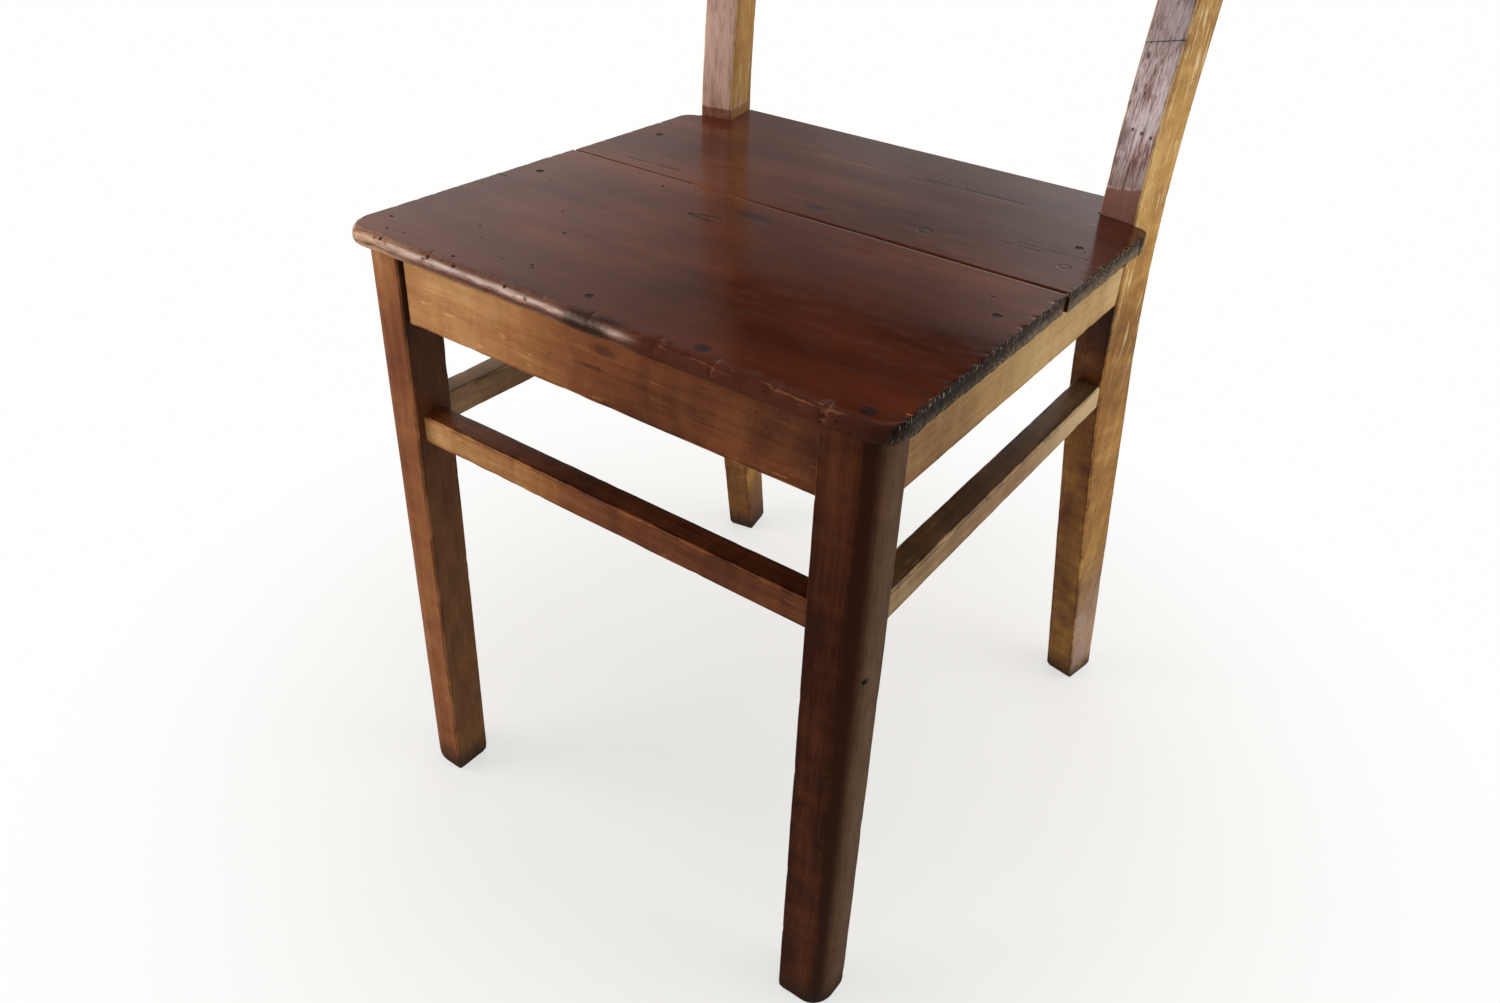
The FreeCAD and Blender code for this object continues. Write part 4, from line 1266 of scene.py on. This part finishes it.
def camera():
    """The viewpoint, for a frame of 1500 by 1003."""
    flat = math.cos(CAMERA_PITCH)
    forward = Vector((-math.sin(CAMERA_YAW) * flat, math.cos(CAMERA_YAW) * flat, math.sin(CAMERA_PITCH)))
    level = Vector((math.cos(CAMERA_YAW), math.sin(CAMERA_YAW), 0.0))
    upright = level.cross(forward)
    right = math.cos(CAMERA_ROLL) * level + math.sin(CAMERA_ROLL) * upright
    up = math.cos(CAMERA_ROLL) * upright - math.sin(CAMERA_ROLL) * level
    data = bpy.data.cameras.new("camera")
    data.sensor_fit = "HORIZONTAL"
    data.sensor_width = SENSOR_WIDTH
    data.lens = FOCAL_PIXELS / PHOTO_WIDTH * SENSOR_WIDTH
    data.clip_start = 0.01
    eye = add_object("camera", data)
    turn = Matrix((right, up, -forward)).transposed().to_4x4()
    eye.matrix_world = Matrix.Translation(place(*CAMERA_PLACE)) @ turn
    bpy.context.scene.camera = eye


def area_light(name, at, aim, width, height, radiance, colour, mirrored=True):
    """A soft rectangular light of an even brightness, aimed at a point."""
    data = bpy.data.lights.new(name, "AREA")
    data.shape = "RECTANGLE"
    data.size = width
    data.size_y = height
    data.energy = radiance * math.pi * width * height
    data.color = colour
    lamp = add_object(name, data)
    lamp.location = at
    lamp.rotation_mode = "QUATERNION"
    lamp.rotation_quaternion = (Vector(aim) - Vector(at)).to_track_quat("-Z", "Y")
    lamp.visible_camera = False
    lamp.visible_glossy = mirrored


def world():
    """White to the eye; in reflections bright behind the chair and dim before it; a soft fill as light."""
    surroundings = bpy.data.worlds.new("surroundings")
    bpy.context.scene.world = surroundings
    g = Graph(surroundings)
    g.put("Color", (1.0, 0.99, 0.975, 1.0))
    direction = g.source("ShaderNodeTexCoord", "Generated")
    x, y, z = g.parts(direction)
    window = g.vector("DOT_PRODUCT", direction, WINDOW_DIRECTION).rise(0.9, 0.965, 0.0, 3.6)
    low = z.rise(0.28, 0.335, 0.48, 0.0) * x.rise(-0.56, -0.45)
    wall = x.rise(-0.76, -0.5, 0.75, 0.0) + x.rise(-0.42, -0.24, 0.0, 0.72) + low + 0.3
    mirrored = wall * y.rise(-0.1, 0.35, 0.14, 1.0) + window
    strength = g.source("ShaderNodeLightPath", "Is Glossy Ray") * (mirrored - FILL) + FILL
    g.put("Strength", g.most(strength, g.source("ShaderNodeLightPath", "Is Camera Ray")))


def floor():
    """A plain pale floor that keeps the chair's shadow and turns white to the eye away from it."""
    g = Graph(bpy.data.materials.new("floor_paint"))
    g.colour = g.ramp(g.clouds(3.0, 2.0, 0.5), shades((0.3, 240, 237, 232), (0.7, 244, 242, 238)))
    g.paint(g.source("ShaderNodeLightPath", "Is Glossy Ray"), 160, 156, 150)
    g.put("Base Color", g.colour)
    g.put("Roughness", 0.6)
    g.put("Specular IOR Level", 0.1)
    white = g.make("ShaderNodeEmission", {"Color": (1.0, 0.995, 0.985, 1.0)})
    far = g.vector("LENGTH", g.position).rise(0.22, 0.62, 0.58, 1.0)
    share = far * g.source("ShaderNodeLightPath", "Is Camera Ray")
    blend = g.make("ShaderNodeMixShader", {0: share, 1: Field(g, g.shader.outputs[0]), 2: white})
    out = next(n for n in g.tree.nodes if n.type == "OUTPUT_MATERIAL")
    g.feed(out.inputs["Surface"], blend)
    corners = [(-1, -1), (1, -1), (1, 1), (-1, 1)]
    mesh = new_mesh("floor", [(x * FLOOR_HALF, y * FLOOR_HALF, 0) for x, y in corners], [(0, 1, 2, 3)])
    mesh.materials.append(g.owner)
    plane = add_object("floor", mesh)


seat_board(
    "seat_front_board", -SEAT_HALF, SEAT_HALF, rounded_front, groove_rear, NOSE_RADIUS, SEAT_CORNER, 0.9
)
rear_ends = (REAR_SHIFT - SEAT_HALF, REAR_SHIFT + SEAT_HALF)
seat_board("seat_rear_board", *rear_ends, REAR_BOARD_FRONT, STRIP_FRONT - STRIP_GAP, 0.9, 0.5, 0.35)

# The side aprons' outer faces are paler towards the rear; painted light makes them paler still at their
# rear ends near the posts, where the seat's corner shades them.
side_apron_outer = graded(0.44, (-0.26, 0.0, 0.7), (-0.12, 0.85, 1.0))
# Painted light: the side stretchers' outer faces are paler towards the rear, near the posts, where they lie
# in shade.
side_stretcher_outer = graded(0.47, (-0.42, 0.5, 0.95))
side_stretcher_top = graded(0.8, (-0.2, 0.55, 1.0), (0.2, 0.82, 0.97))
side_stretcher_inner = graded(0.42, (0.22, 0.04, 0.3))
# Partly the apron's own stain and partly a painted sheen: its front is paler at the left end and darker
# towards the right.
front_apron_face = graded(0.17, (0.55, 0.05, 0.7), (0.06, 0.75, 1.0))
front_stretcher_top = graded(0.6, (0.3, 0.05, 0.5))
front_stretcher_face = graded(0.2, (0.1, 0.02, 0.08), (0.42, 0.08, 0.6))
for one_side in (1, -1):
    front_leg(one_side)
    rear_post(one_side)
    at = (SIDE_APRON_OUTER, SIDE_APRON_BOTTOM, SEAT_UNDERSIDE)
    side_rail("side_apron", one_side, *at, [0.6, side_apron_outer, 0.6, 0.6], 1.0, SIDE_APRON_WOOD)
    upper = side_stretcher_top if one_side > 0 else 0.57
    faces_round = [0.6, side_stretcher_outer, upper, side_stretcher_inner]
    at = (SIDE_STRETCHER_OUTER, STRETCHER_BOTTOM, STRETCHER_TOP)
    side_rail("side_stretcher", one_side, *at, faces_round, 1.3, STRETCHER_WOOD)
at = (FRONT_APRON_Y, APRON_BOTTOM, SEAT_UNDERSIDE)
front_rail("front_apron", *at, [0.7, 0.6, 0.6, front_apron_face], 1.0, 2.2, APRON_WOOD)
at = (FRONT_STRETCHER_Y, STRETCHER_BOTTOM, STRETCHER_TOP)
faces_round = [0.7, 0.7, front_stretcher_top, front_stretcher_face]
front_rail("front_stretcher", *at, faces_round, 1.3, 0.0, LEFT_LEG_WOOD)
rear_apron([0.6, 0.45, 0.6, 0.5])
backrest([0.8, 0.7, 0.7, 0.86])

finishes = {
    "seat_back_strip": SEAT_WOOD,
    "seat_nails": metal("nail_iron", (22, 19, 18), (64, 56, 50), 0.4, 0.65),
    "corner_block_screws": metal("screw_steel", (70, 62, 54), (150, 144, 136), 0.3, 0.5),
}
block_wood = bare_wood("block_wood_bare")
for stem in ("front_corner_block", "rear_corner_block"):
    for one_side in (-1, 1):
        finishes[sided(stem, one_side)] = block_wood
for node_name, finish in finishes.items():
    target = frame["nodes"][node_name]
    target.data.materials.clear()
    target.data.materials.append(finish)

camera()
world()
floor()
daylight = (1.0, 0.98, 0.95)
area_light("window_light", (-1.75, -1.5, 0.86), (0.0, 0.0, 0.5), 1.45, 1.0, 6.55, daylight, False)
area_light("side_light", (2.0, 0.7, 1.0), (0.0, 0.0, 0.4), 1.5, 1.5, 2.6, daylight)
area_light("ceiling_light", (0.0, 0.2, 2.4), (0.0, 0.0, 0.0), 2.2, 2.2, 1.2, (1.0, 0.99, 0.98), False)

bpy.context.scene.view_settings.view_transform = "Standard"
